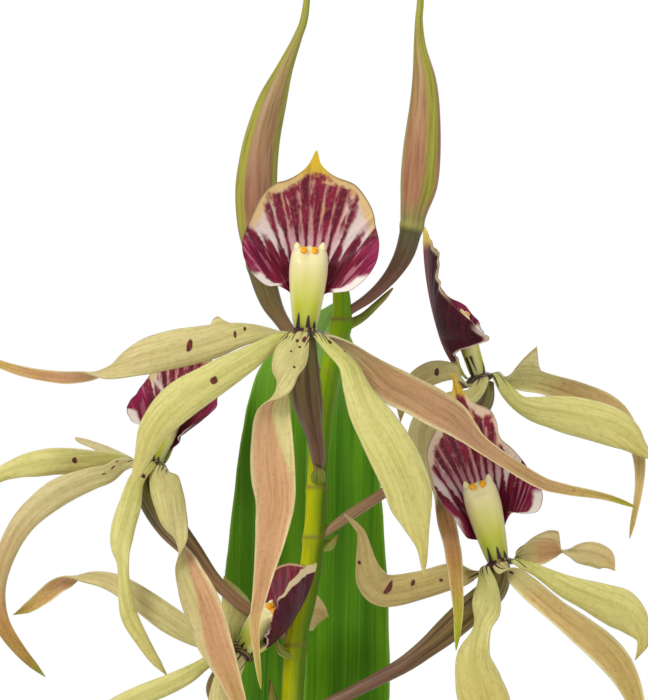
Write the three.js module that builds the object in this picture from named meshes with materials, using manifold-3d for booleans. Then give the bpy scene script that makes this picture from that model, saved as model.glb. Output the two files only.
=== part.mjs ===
// A potted cockleshell orchid: pot, bark, rhizome, pseudobulbs, leaves, flower stalk, five blooms, two buds.
// Millimetres, +Z up. The origin is the middle of the pot's base. The blooms look towards -Y.
import * as THREE from 'three';
import { mergeVertices } from 'three/addons/utils/BufferGeometryUtils.js';
import Module from 'manifold-3d';

const wasm = await Module();
wasm.setup();

// Driving dimensions
const clearance = 0.35;

const potHeight = 106;
const potTopRadius = 60;
const potBaseRadius = 43;
const potWall = 4.5;
const potFloor = 7;
const rimHeight = 17;
const rimStep = 2.2;
const drainRadius = 4.5;
const drainRing = 24;
const drainCount = 4;

const barkTop = 92;
const barkChipCount = 48;
const barkChipSize = [19, 12, 6.5];

const bulbFoot = 93;
const bulbFlattening = 0.66;
const rootRadius = 1.5;
const rootCount = 12;

const leafThickness = 0.9;
const leafChannel = 0.2;
const bractThickness = 0.8;
const bractCurl = -0.3;

const tepalThickness = 0.65;
const tepalCurl = -0.22;
const ringRadius = 2.75;
const ringNeck = 4.3;

const lipThickness = 1.1;
const lipThroat = [0.6, 12, 5.4];

// Where a blade's roll is measured from
const viewerSide = new THREE.Vector3(0, -1, 0);
const viewerAbove = new THREE.Vector3(0, -0.25, 1);

// Colours of the pieces
const colours = {
  clay: 0xb26b45,
  bark: 0x6a4630,
  rhizome: 0x8d8a63,
  bulb: 0x6f9a3a,
  leaf: 0x4c8a1c,
  stalk: 0x7f9f22,
  sepal: 0xcfc38c,
  petal: 0xcdd283,
  lip: 0x6e1937,
  column: 0xd9d78a,
  ovary: 0x7d6a4c,
  bud: 0xa07a58,
};

function seededRandom(seed) {
  let state = seed;
  return () => {
    state = (state * 1664525 + 1013904223) % 4294967296;
    return state / 4294967296;
  };
}

// Uniform Catmull-Rom through rows of numbers, with t from 0 to 1 along the rows.
function blend(rows, t) {
  const last = rows.length - 1;
  const place = Math.min(Math.max(t, 0), 1) * last;
  const i = Math.min(Math.floor(place), last - 1);
  const f = place - i;
  const a = rows[Math.max(i - 1, 0)];
  const b = rows[i];
  const c = rows[i + 1];
  const d = rows[Math.min(i + 2, last)];
  return b.map((_, k) => 0.5 * (2 * b[k] + (c[k] - a[k]) * f
    + (2 * a[k] - 5 * b[k] + 4 * c[k] - d[k]) * f * f
    + (3 * b[k] - a[k] - 3 * c[k] + d[k]) * f * f * f));
}

function vector(numbers) {
  return new THREE.Vector3(numbers[0], numbers[1], numbers[2]);
}

function geometryFrom(points, faces) {
  const geometry = new THREE.BufferGeometry();
  geometry.setAttribute('position', new THREE.Float32BufferAttribute(points.flatMap((p) => p.toArray()), 3));
  geometry.setIndex(faces.flat());
  return geometry;
}

// Closed body through rings of equal point count, with both ends capped by a fan. Each ring runs
// anticlockwise as seen from the far end.
function loft(rings) {
  const count = rings[0].length;
  const points = rings.flat();
  const faces = [];
  for (let i = 0; i < rings.length - 1; i += 1) {
    for (let j = 0; j < count; j += 1) {
      const a = i * count + j;
      const b = i * count + ((j + 1) % count);
      faces.push([a, b, b + count], [a, b + count, a + count]);
    }
  }
  const middle = (ring) => ring.reduce((sum, p) => sum.add(p), new THREE.Vector3()).divideScalar(count);
  const start = points.push(middle(rings[0])) - 1;
  const end = points.push(middle(rings[rings.length - 1])) - 1;
  const lastRing = (rings.length - 1) * count;
  for (let j = 0; j < count; j += 1) {
    const next = (j + 1) % count;
    faces.push([start, next, j], [end, lastRing + j, lastRing + next]);
  }
  return geometryFrom(points, faces);
}

// Round tube along rows of [x, y, z, radius].
function tube(rows, sides, stations, grow = 0) {
  const samples = [];
  for (let i = 0; i < stations; i += 1) samples.push(blend(rows, i / (stations - 1)));
  const rings = [];
  let side = new THREE.Vector3(1, 0, 0);
  samples.forEach((sample, i) => {
    const before = vector(samples[Math.max(i - 1, 0)]);
    const after = vector(samples[Math.min(i + 1, stations - 1)]);
    const heading = after.sub(before).normalize();
    if (i === 0 && Math.abs(heading.x) > 0.8) side = new THREE.Vector3(0, 1, 0);
    side = side.clone().addScaledVector(heading, -side.dot(heading)).normalize();
    const other = heading.clone().cross(side);
    const ring = [];
    for (let j = 0; j < sides; j += 1) {
      const angle = (2 * Math.PI * j) / sides;
      const radius = sample[3] + grow;
      ring.push(vector(sample)
        .addScaledVector(side, radius * Math.cos(angle))
        .addScaledVector(other, radius * Math.sin(angle)));
    }
    rings.push(ring);
  });
  return loft(rings);
}

// Rows of [x, y, z, half width, curl, width axis x, y, z]. The width axis comes from the roll, which is 0
// where the blade's front faces the viewer at -Y and 180 where its reverse does. A point may end with a
// curl of its own, the share of the half width by which the margins bend to the front.
function bladeRows(points, seenFrom, usualCurl) {
  return points.map((point, i) => {
    const before = vector(points[Math.max(i - 1, 0)]);
    const after = vector(points[Math.min(i + 1, points.length - 1)]);
    const heading = after.sub(before).normalize();
    const facing = seenFrom.clone().addScaledVector(heading, -seenFrom.dot(heading)).normalize();
    const across = heading.clone().cross(facing);
    const roll = THREE.MathUtils.degToRad(point[4]);
    const width = across.multiplyScalar(Math.cos(roll)).addScaledVector(facing, -Math.sin(roll));
    return [point[0], point[1], point[2], point[3], point[5] ?? usualCurl, width.x, width.y, width.z];
  });
}

// Thin arched blade along rows from bladeRows. Both faces are split into the same triangles.
// A tooth is [share of the length, side, height] and pulls one margin out into a point.
function blade(rows, { stations, across, thickness, tooth }) {
  const points = [];
  const toothStation = tooth ? Math.round(tooth[0] * (stations - 1)) : -1;
  for (let i = 0; i < stations; i += 1) {
    const t = i / (stations - 1);
    const sample = blend(rows, t);
    const heading = vector(blend(rows, t + 0.01)).sub(vector(blend(rows, t - 0.01))).normalize();
    const width = vector(sample.slice(5));
    width.addScaledVector(heading, -width.dot(heading)).normalize();
    const normal = width.clone().cross(heading);
    const half = Math.max(sample[3], 0.4);
    for (const face of [1, -1]) {
      for (let k = 0; k <= across; k += 1) {
        const share = (2 * k) / across - 1;
        const point = vector(sample)
          .addScaledVector(width, half * share)
          .addScaledVector(normal, sample[4] * half * share * share + (face * thickness) / 2);
        if (i === toothStation && share === tooth[1]) point.addScaledVector(width, share * tooth[2]);
        points.push(point);
      }
    }
  }
  const ring = 2 * (across + 1);
  const faces = [];
  const quad = (a, b, c, d) => faces.push([a, b, c], [a, c, d]);
  for (let i = 0; i < stations - 1; i += 1) {
    const here = i * ring;
    const there = here + ring;
    for (let k = 0; k < across; k += 1) {
      quad(here + k, here + k + 1, there + k + 1, there + k);
      const back = across + 1 + k;
      faces.push([here + back, there + back + 1, here + back + 1], [here + back, there + back, there + back + 1]);
    }
    quad(here, there, there + across + 1, here + across + 1);
    quad(here + across, here + ring - 1, there + ring - 1, there + across);
  }
  const last = (stations - 1) * ring;
  for (let k = 0; k < across; k += 1) {
    quad(k, across + 1 + k, across + 2 + k, k + 1);
    quad(last + k, last + k + 1, last + across + 2 + k, last + across + 1 + k);
  }
  return geometryFrom(points, faces);
}

// Joining and cutting
function solid(geometry) {
  const bare = geometry.clone();
  bare.deleteAttribute('normal');
  bare.deleteAttribute('uv');
  const merged = mergeVertices(bare, 1e-4);
  return new wasm.Manifold(new wasm.Mesh({
    numProp: 3,
    vertProperties: new Float32Array(merged.attributes.position.array),
    triVerts: new Uint32Array(merged.index.array),
  }));
}

function geometryOf(body) {
  const mesh = body.getMesh();
  const geometry = new THREE.BufferGeometry();
  geometry.setAttribute('position', new THREE.BufferAttribute(mesh.vertProperties, 3));
  geometry.setIndex(new THREE.BufferAttribute(mesh.triVerts, 1));
  return geometry;
}

// The largest piece of a cut body, without the loose scraps.
function mainPiece(body) {
  return body.decompose().reduce((best, piece) => (piece.volume() > best.volume() ? piece : best));
}

function joined(geometries) {
  return geometries.map(solid).reduce((sum, piece) => sum.add(piece));
}

function material(colour, roughness = 0.6) {
  return new THREE.MeshStandardMaterial({ color: colour, roughness, metalness: 0 });
}

function named(name, geometry, colour, roughness) {
  const mesh = new THREE.Mesh(geometry, material(colour, roughness));
  mesh.name = name;
  return mesh;
}

// Pot: a tapered clay pot with a stepped rim and four drainage holes round its middle
function pot() {
  const profile = [
    [0, 0],
    [potBaseRadius - 1.5, 0],
    [potBaseRadius, 1.5],
    [potTopRadius - rimStep - 1.4, potHeight - rimHeight],
    [potTopRadius - 0.6, potHeight - rimHeight + 1],
    [potTopRadius, potHeight - 2],
    [potTopRadius - 1.2, potHeight],
    [potTopRadius - potWall + 0.6, potHeight],
    [potTopRadius - potWall - 0.4, potHeight - 1.5],
    [potBaseRadius - potWall, potFloor + 2],
    [potBaseRadius - potWall - 2.5, potFloor],
    [0, potFloor],
  ].map(([radius, height]) => new THREE.Vector2(radius, height));
  let body = solid(new THREE.LatheGeometry(profile, 36).rotateX(Math.PI / 2));
  for (let i = 0; i < drainCount; i += 1) {
    const angle = (2 * Math.PI * (i + 0.5)) / drainCount;
    const hole = new THREE.CylinderGeometry(drainRadius, drainRadius, 4 * potFloor, 12);
    hole.rotateX(Math.PI / 2);
    hole.translate(drainRing * Math.cos(angle), drainRing * Math.sin(angle), potFloor / 2);
    body = body.subtract(solid(hole));
  }
  return geometryOf(body);
}

// Pseudobulbs: flattened pear shapes with a few ridges, in rows of [share of the height, share of the radius]
const bulbOutline = [
  [0, 0.5], [0.06, 0.78], [0.2, 1], [0.42, 0.96], [0.62, 0.74], [0.8, 0.5], [0.93, 0.39], [1, 0.34],
];

const bulbs = {
  pseudobulb_flowering: { foot: [-9, 2], top: [-8, 0.5], height: 90, radius: 17, turn: 8 },
  pseudobulb_second: { foot: [22, 13], top: [26, 18], height: 84, radius: 16, turn: 40 },
  pseudobulb_third: { foot: [32, -18], top: [38, -22], height: 74, radius: 14, turn: 65 },
  pseudobulb_young: { foot: [-37, -9], top: [-41, -12], height: 46, radius: 9.5, turn: 20 },
};

function pseudobulb({ foot, top, height, radius, turn }, grow = 0) {
  const sides = 14;
  const turned = THREE.MathUtils.degToRad(turn);
  const rings = bulbOutline.map(([rise, girth], level) => {
    const ring = [];
    const ends = level === 0 ? -grow : grow;
    for (let j = 0; j < sides; j += 1) {
      const angle = (2 * Math.PI * j) / sides;
      const ridge = 1 + (j % 2 === 0 ? 0.03 : -0.03);
      const wide = (radius * girth * ridge + grow) * Math.cos(angle);
      const deep = (radius * bulbFlattening * (0.25 + 0.75 * girth) * ridge + grow) * Math.sin(angle);
      ring.push(new THREE.Vector3(
        foot[0] + rise * (top[0] - foot[0]) + wide * Math.cos(turned) - deep * Math.sin(turned),
        foot[1] + rise * (top[1] - foot[1]) + wide * Math.sin(turned) + deep * Math.cos(turned),
        bulbFoot + rise * height + ends,
      ));
    }
    return ring;
  });
  return loft(rings);
}

// Rhizome with its roots, which creep out over the bark and dive into it
const rhizomeRoute = [
  [-38, -10, 87.5, 3.2], [-24, -4, 88.2, 4], [-9, 2, 88.2, 4.3], [6, 8, 88.2, 4.3],
  [22, 12, 88.2, 4.3], [30, -3, 88.2, 4.3], [33, -20, 87.5, 3.6],
];

function rootRoutes() {
  const random = seededRandom(7);
  const routes = [];
  for (let i = 0; i < rootCount; i += 1) {
    const start = blend(rhizomeRoute, (i + 0.5) / rootCount);
    const angle = 2.4 * i + random();
    const reach = Math.min(20 + 12 * random(), 45 - Math.hypot(start[0], start[1]) * 0.35);
    const bend = 0.5 * (random() - 0.5);
    const rows = [];
    for (let step = 0; step <= 4; step += 1) {
      const gone = reach * (step / 4);
      const heading = angle + bend * step;
      const x = start[0] + gone * Math.cos(heading);
      const y = start[1] + gone * Math.sin(heading);
      const inside = Math.min(1, 46 / Math.max(Math.hypot(x, y), 1));
      const height = [87, 92, 94.5, 92, 80][step];
      rows.push([x * inside, y * inside, height, rootRadius * (1 - 0.08 * step)]);
    }
    routes.push(rows);
  }
  return routes;
}

function rhizomeBody(grow) {
  const pieces = [tube(rhizomeRoute, 7, 12, grow)];
  rootRoutes().forEach((rows) => pieces.push(tube(rows, 5, 7, grow)));
  return joined(pieces);
}

function bulbSpace() {
  return joined(Object.values(bulbs).map((bulb) => pseudobulb(bulb, clearance)));
}

function rhizome() {
  return geometryOf(mainPiece(rhizomeBody(0).subtract(bulbSpace())));
}

// Bark: a fill that follows the pot's inside, topped with tumbled chips set by a sunflower rule
function bark() {
  const innerTop = potTopRadius - potWall - 0.4;
  const innerBase = potBaseRadius - potWall;
  const slope = (innerTop - innerBase) / (potHeight - 1.5 - potFloor - 2);
  const wallAt = (height) => innerBase + slope * (height - potFloor - 2) - 3 * clearance;
  const profile = [
    [0, potFloor + clearance],
    [innerBase - 2.5 - clearance, potFloor + clearance],
    [wallAt(potFloor + 3), potFloor + 3],
    [wallAt(barkTop - 2), barkTop - 2],
    [wallAt(barkTop) - 4, barkTop],
    [0, barkTop],
  ].map(([radius, height]) => new THREE.Vector2(radius, height));
  let body = solid(new THREE.LatheGeometry(profile, 20).rotateX(Math.PI / 2));
  const random = seededRandom(21);
  const goldenAngle = 2.39996;
  const spread = wallAt(barkTop) - barkChipSize[0] * 0.62;
  for (let i = 0; i < barkChipCount; i += 1) {
    const distance = spread * Math.sqrt((i + 0.5) / barkChipCount);
    const chip = new THREE.BoxGeometry(...barkChipSize.map((size) => size * (0.7 + 0.5 * random())));
    chip.rotateX(0.7 * (random() - 0.5));
    chip.rotateY(0.7 * (random() - 0.5));
    chip.rotateZ(Math.PI * random());
    chip.translate(
      distance * Math.cos(i * goldenAngle),
      distance * Math.sin(i * goldenAngle),
      barkTop - 0.5 + 2 * random(),
    );
    body = body.add(solid(chip));
  }
  return geometryOf(mainPiece(body.subtract(rhizomeBody(clearance)).subtract(bulbSpace())));
}

// Leaves, in rows of [x, y, z, half width, roll]
const leaves = {
  leaf_tall: [
    [-8, 4.4, 184, 4, 0], [-7.6, 5.6, 196, 6, 0], [-6, 10, 218, 10.5, 0], [-3, 15, 250, 15.2, 0],
    [-1, 18.5, 280, 17, 0], [0.7, 22, 313, 17.3, 0], [1, 23.6, 330, 16.9, 0], [1.4, 25, 348, 15.5, 0],
    [1.7, 26, 364, 13.8, 0], [2.4, 26.5, 375.6, 11.8, 0], [4, 26.8, 383, 8, 0], [5.6, 27, 388, 5.6, 0],
    [8, 27, 393.6, 0.8, 0],
  ],
  leaf_front_left: [
    [-9, -5, 184, 3.6, 10], [-12, -8, 198, 6, 12], [-22, -17, 226, 11, 16], [-38, -28, 252, 14.5, 20],
    [-60, -40, 272, 15.5, 24], [-85, -52, 280, 13, 28], [-106, -62, 276, 8, 30], [-118, -68, 270, 1, 30],
  ],
  leaf_second_right: [
    [29.5, 18, 178, 3.6, -20], [34, 19, 192, 6, -20], [46, 22, 222, 11, -24], [62, 26, 252, 15, -28],
    [84, 30, 276, 16, -34], [108, 34, 287, 13, -38], [128, 38, 286, 8, -40], [140, 40, 281, 1, -40],
  ],
  leaf_second_back: [
    [24, 22.5, 178, 3.4, 0], [22, 28, 192, 6, 0], [14, 40, 222, 11, -6], [4, 54, 250, 14.5, -10],
    [-8, 70, 272, 15, -14], [-20, 86, 284, 12, -16], [-28, 98, 286, 7.5, -18], [-33, 105, 283, 1, -18],
  ],
  leaf_third_front: [
    [41, -23, 168, 3.4, -10], [44, -27, 180, 6, -12], [50, -37, 204, 10.5, -16], [60, -50, 228, 14, -20],
    [74, -64, 246, 14.5, -26], [90, -78, 254, 12, -30], [104, -89, 252, 7, -32], [112, -95, 247, 1, -32],
  ],
  leaf_third_back: [
    [37, -17.5, 168, 3.4, -30], [42, -15, 182, 5.5, -32], [58, -9, 208, 10, -36], [80, -2, 230, 13.5, -40],
    [104, 5, 242, 14, -44], [126, 11, 241, 11, -48], [142, 15, 233, 6.5, -50], [150, 17, 226, 1, -50],
  ],
  leaf_young: [
    [-41.5, -12, 140, 3.2, 20], [-44, -13, 152, 5, 22], [-52, -16, 176, 8, 26], [-64, -20, 198, 10, 30],
    [-80, -24, 214, 10, 34], [-96, -28, 219, 7, 38], [-108, -31, 216, 1, 40],
  ],
};

// Flower stalk, in rows of [x, y, z, radius], with a bract at each node as [x, y, z, half width, roll]
const stalkRoute = [
  [-8, -1, 183.8, 2.7], [-7.6, -1.2, 200, 2.5], [-6.2, -1, 230, 2.4], [-4.2, -0.5, 265, 2.3],
  [-2.6, 0, 295, 2.25], [-1.6, 0, 313, 2.2], [-0.6, 0, 326, 2.25], [1.4, 0, 335, 2.2], [2.4, 0, 342, 2.15],
  [3.1, 0, 349, 2.15], [3.6, 0, 359, 2.05], [4.5, 0, 369, 2], [6.3, 0, 380, 2], [8, 0, 387, 2.15],
  [8.4, 0, 391, 1.9], [8.2, 0, 394.8, 1.6],
];

const bracts = [
  [[-6.4, -2, 230, 2.2, 30], [-7, -4.4, 240, 2.4, 30], [-6.2, -4.6, 250, 0.5, 30]],
  [[-4, -2, 266, 2.2, -30], [-3.2, -4, 276, 2.3, -30], [-2.8, -4, 285, 0.5, -30]],
  [[-1.8, 0.5, 308, 1.8, 60], [-4.4, 0.6, 312, 1.8, 60], [-6, 0.8, 317, 0.5, 60]],
  [[-0.9, -0.8, 322.4, 1.6, 60], [-3.6, -2.4, 323.4, 1.5, 60], [-5, -2.8, 325.4, 0.5, 60]],
  [[3.2, 0, 345, 1.8, -50], [5.8, 0.2, 344.4, 1.6, -50], [7.6, 0.2, 346, 0.5, -50]],
  [[3.7, -2.3, 356.4, 1.4, 0], [3.6, -4.3, 358, 1.4, 0], [3.1, -6, 360, 0.5, 0]],
  [[8.8, 0.2, 388.2, 1.5, -45], [12.2, 0.5, 389.7, 1.1, -45], [15.2, 0.8, 392.2, 0.8, -45], [18.6, 1.2, 395.4, 0.5, -45]],
];

function stalk() {
  const pieces = [tube(stalkRoute, 9, 22)];
  bracts.forEach((points) => {
    const rows = bladeRows(points, viewerSide, bractCurl);
    pieces.push(blade(rows, { stations: 4, across: 2, thickness: bractThickness }));
  });
  return geometryOf(joined(pieces));
}

// Buds with their ovary and pedicel, in rows of [x, y, z, radius]
const buds = {
  bud_left: [
    [3.4, 1.5, 378.7, 1.1], [0, 2.4, 383.6, 1.3], [-3.6, 3, 388.8, 1.5], [-5.7, 3.6, 392.4, 2.1],
    [-7.2, 4, 397, 2.6], [-8, 4, 403.2, 3.4], [-8.6, 4, 408.4, 4], [-8.8, 4, 415, 4.2],
    [-8.3, 4, 421, 3.9], [-7.3, 4, 426.6, 3.5], [-5.5, 4, 433, 2.9], [-3.1, 4, 439.4, 1.7],
    [-0.6, 4, 445.4, 0.95], [1, 4, 450.4, 0.75], [2, 4, 461, 0.4],
  ],
  bud_right: [
    [10.9, 0.3, 391.5, 0.9], [13.6, 0.8, 393.3, 1.05], [16.4, 1.2, 395.8, 1.25], [18.9, 1.4, 398.8, 1.6],
    [21, 1.6, 402.6, 2], [22.3, 2, 407.4, 2.25], [22.8, 2, 411, 2.8], [23.8, 2, 416.4, 3.8],
    [24.4, 2, 423.6, 3.8], [24.9, 2, 431.6, 3.1], [24.8, 2, 437.4, 2.4], [24, 2, 443.6, 1.3],
    [23.8, 2, 449, 0.8], [24.1, 2, 453.4, 0.7], [23.8, 2, 461, 0.4],
  ],
};

// Rim of the lip in rows of [side, height, depth behind the column's axis], from the apex round by the left
const lipRims = {};
lipRims.open = [
  [1.3, 35.9, 2], [-0.2, 33.1, 2.2], [-2.1, 31.2, 2], [-4.4, 29.9, 1.6], [-7, 29, 1.2], [-9.3, 26.6, 0.8],
  [-11.2, 22.4, 1.4], [-12.8, 18, 1.2], [-12.6, 14.9, -2], [-11.2, 12, -4], [-9.5, 10.2, -4.8],
  [-7.6, 9, -4.4], [-5.4, 8.9, -1.6], [-3, 7.4, 3.3], [-2, 5.4, 3.6], [-1.5, 1.2, 2.95],
  [1.5, 1.2, 2.95], [2.2, 5.4, 3.6], [4, 7.6, 3.3], [6.4, 8, -1.6], [9.2, 8.8, -4.6], [12, 11.4, -4.8],
  [13.8, 14.5, -2.4], [14.2, 18, 0.8], [13.4, 21.3, 1.4], [12.9, 23.8, 0.8], [11.6, 26.4, 0.6],
  [9, 29.4, 1.2], [5, 30.9, 1.8], [2.3, 33.1, 2.2],
];

// The right bloom's lip is seen more from its left.
lipRims.turned = [
  [1.7, 39.5, 2], [1.1, 36.8, 2.2], [-0.5, 34, 2.2], [-2.7, 31.6, 1.8], [-4.6, 29.3, 1.2],
  [-6.8, 26.8, 0.6], [-7.9, 24.2, 0.4], [-8.1, 20, -1], [-7.8, 16.8, -2.6], [-6.8, 13.4, -4],
  [-5.6, 10, -4], [-4.7, 7, -2], [-4.1, 6.4, 1.4], [-2.2, 5.2, 3.6], [-1.5, 1.2, 2.95],
  [1.5, 1.2, 2.95], [2.6, 6, 3.6], [5, 9, 2.4], [7.4, 8.2, -1.6], [10.2, 7.7, -3.6],
  [11.8, 9.2, -3.8], [12.4, 11.8, -3], [11.3, 15.6, -1.6], [10.4, 18.4, -0.4], [9, 21.4, 0.8],
  [7.3, 24.2, 1.4], [7.5, 27.6, 0.6], [6.8, 30.2, 0.4], [3.9, 32.6, 1.4], [2.7, 35.7, 2],
];

// The rear bloom's lip, seen from its side, folds its lower lobes forwards and its upper edges back.
lipRims.folded = [
  [1, 35.4, 1.9], [-0.4, 33.4, 1.7], [-2.4, 31.6, 1.4], [-4.8, 30.2, 1], [-6.8, 28.6, 0.6],
  [-8.4, 26.6, 1.6], [-9.6, 23.8, 2.6], [-10.8, 20.8, 2.4], [-11.6, 17.4, 1.3], [-11.4, 12.8, -1.4],
  [-10.2, 9.6, -3.5], [-8.6, 7.8, -4.3], [-6.4, 7.4, -1], [-3.6, 7.2, 2.9], [-2.1, 5.3, 3.6],
  [-1.5, 1.2, 2.95], [1.5, 1.2, 2.95], [2.2, 5.4, 3.6], [4, 7.6, 3.3], [6.4, 8, -1], [9.2, 8.8, -3.2],
  [11.4, 10.2, -3.6], [12.4, 13, -3.1], [12.6, 16.2, -1.3], [11.8, 20, 1.9], [10.6, 23.6, 2.8],
  [9, 27, 1.6], [7, 29.6, 0.8], [4.6, 31.6, 1.2], [2.6, 33.4, 1.6],
];

// The low bloom's lip holds both its sides forwards round its column.
lipRims.cupped = [
  [0.8, 32, 0.8], [-0.2, 30.6, 0.6], [-1.8, 29.4, 0], [-3.6, 28.4, -0.6], [-5.6, 27.2, -1.6],
  [-7.6, 25.4, -3], [-9.2, 22.6, -4.2], [-10, 18.8, -4.6], [-9.8, 15.4, -4.2], [-9, 12.6, -3.8],
  [-8, 10.6, -3], [-6.8, 9.2, -1.6], [-5.2, 8.2, 0.2], [-3.4, 7.2, 2.8], [-2.1, 5.3, 3.6],
  [-1.5, 1.2, 2.95], [1.5, 1.2, 2.95], [2.2, 5.4, 3.6], [3.8, 7.4, 2.7], [5.6, 8.6, 0.6],
  [7.2, 10.4, 0], [8.4, 12.6, -0.8], [9.4, 14.8, -1.9], [10.4, 18, -3.6], [10.2, 21.4, -4.2],
  [9.2, 24.4, -4.2], [7.4, 27, -3.8], [5, 28.8, -2.8], [3.2, 30.2, -1.8], [1.8, 31.4, -0.4],
];

// Lip: a cupped shell in the bloom's own frame, as a fan of rays from the throat, alike on both faces
function lip({ size, wide, rim: rimName }) {
  const outline = lipRims[rimName];
  const rays = outline.length;
  const shares = [0.58, 1];
  const points = [];
  for (const face of [-1, 1]) {
    for (const share of [0, ...shares]) {
      outline.forEach((rim, j) => {
        if (share === 0 && j > 0) return;
        const side = lipThroat[0] + share * (rim[0] - lipThroat[0]);
        const height = lipThroat[1] + share * (rim[1] - lipThroat[1]);
        const depth = lipThroat[2] + share * share * (rim[2] - lipThroat[2]);
        points.push(new THREE.Vector3(side * size * wide, depth * size + (face * lipThickness) / 2, height * size));
      });
    }
  }
  const half = 1 + rays * shares.length;
  const faces = [];
  for (let j = 0; j < rays; j += 1) {
    const next = (j + 1) % rays;
    faces.push([0, 1 + j, 1 + next], [half, half + 1 + next, half + 1 + j]);
    for (let i = 0; i < shares.length - 1; i += 1) {
      const inner = 1 + i * rays;
      const outer = inner + rays;
      faces.push([inner + j, outer + next, inner + next], [inner + j, outer + j, outer + next]);
      faces.push(
        [half + inner + j, half + inner + next, half + outer + next],
        [half + inner + j, half + outer + next, half + outer + j],
      );
    }
    const rim = 1 + (shares.length - 1) * rays;
    faces.push([rim + j, half + rim + next, rim + next], [rim + j, half + rim + j, half + rim + next]);
  }
  return geometryFrom(points, faces);
}

// Column in rows of [height, half width, front, back], with three teeth and the anther between them
const columnRows = [
  [0.35, 2.1, 1.7, 1.7], [2.4, 2.6, 2.1, 2.1], [7, 3.3, 2.4, 2.4], [11.4, 3.8, 2.7, 2.6],
  [14.6, 3.7, 2.6, 2.5], [16.2, 3.2, 2.2, 2.1], [16.8, 2, 1.3, 1.3],
];
const columnTeeth = [[-2.3, -0.3, 15.6, -14], [0, 0.5, 15.3, 0], [2.3, -0.3, 15.6, 14]];
const columnLean = 0.03;

function column({ columnSize, columnWide, columnTurn }) {
  const sides = 10;
  const rings = columnRows.map(([height, half, front, back]) => {
    const ring = [];
    for (let j = 0; j < sides; j += 1) {
      const angle = (2 * Math.PI * j) / sides;
      const depth = Math.sin(angle) > 0 ? back : front;
      const side = half * Math.cos(angle) + columnLean * height;
      ring.push(new THREE.Vector3(side, depth * Math.sin(angle), height));
    }
    return ring;
  });
  const pieces = [loft(rings)];
  columnTeeth.forEach(([side, depth, height, lean]) => {
    const tooth = new THREE.ConeGeometry(0.8, 2.6, 4);
    tooth.rotateX(Math.PI / 2);
    tooth.rotateY(THREE.MathUtils.degToRad(lean));
    tooth.translate(side + columnLean * height, depth, height + 1);
    pieces.push(tooth);
  });
  const anther = new THREE.SphereGeometry(1.5, 6, 5);
  anther.scale(1.25, 0.7, 0.8);
  anther.translate(columnLean * 15.6, -1.9, 15.6);
  pieces.push(anther);
  const body = joined(pieces);
  const wide = columnSize * columnWide;
  return geometryOf(body.scale([wide, columnSize, columnSize]).rotate([0, 0, columnTurn]));
}

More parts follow.
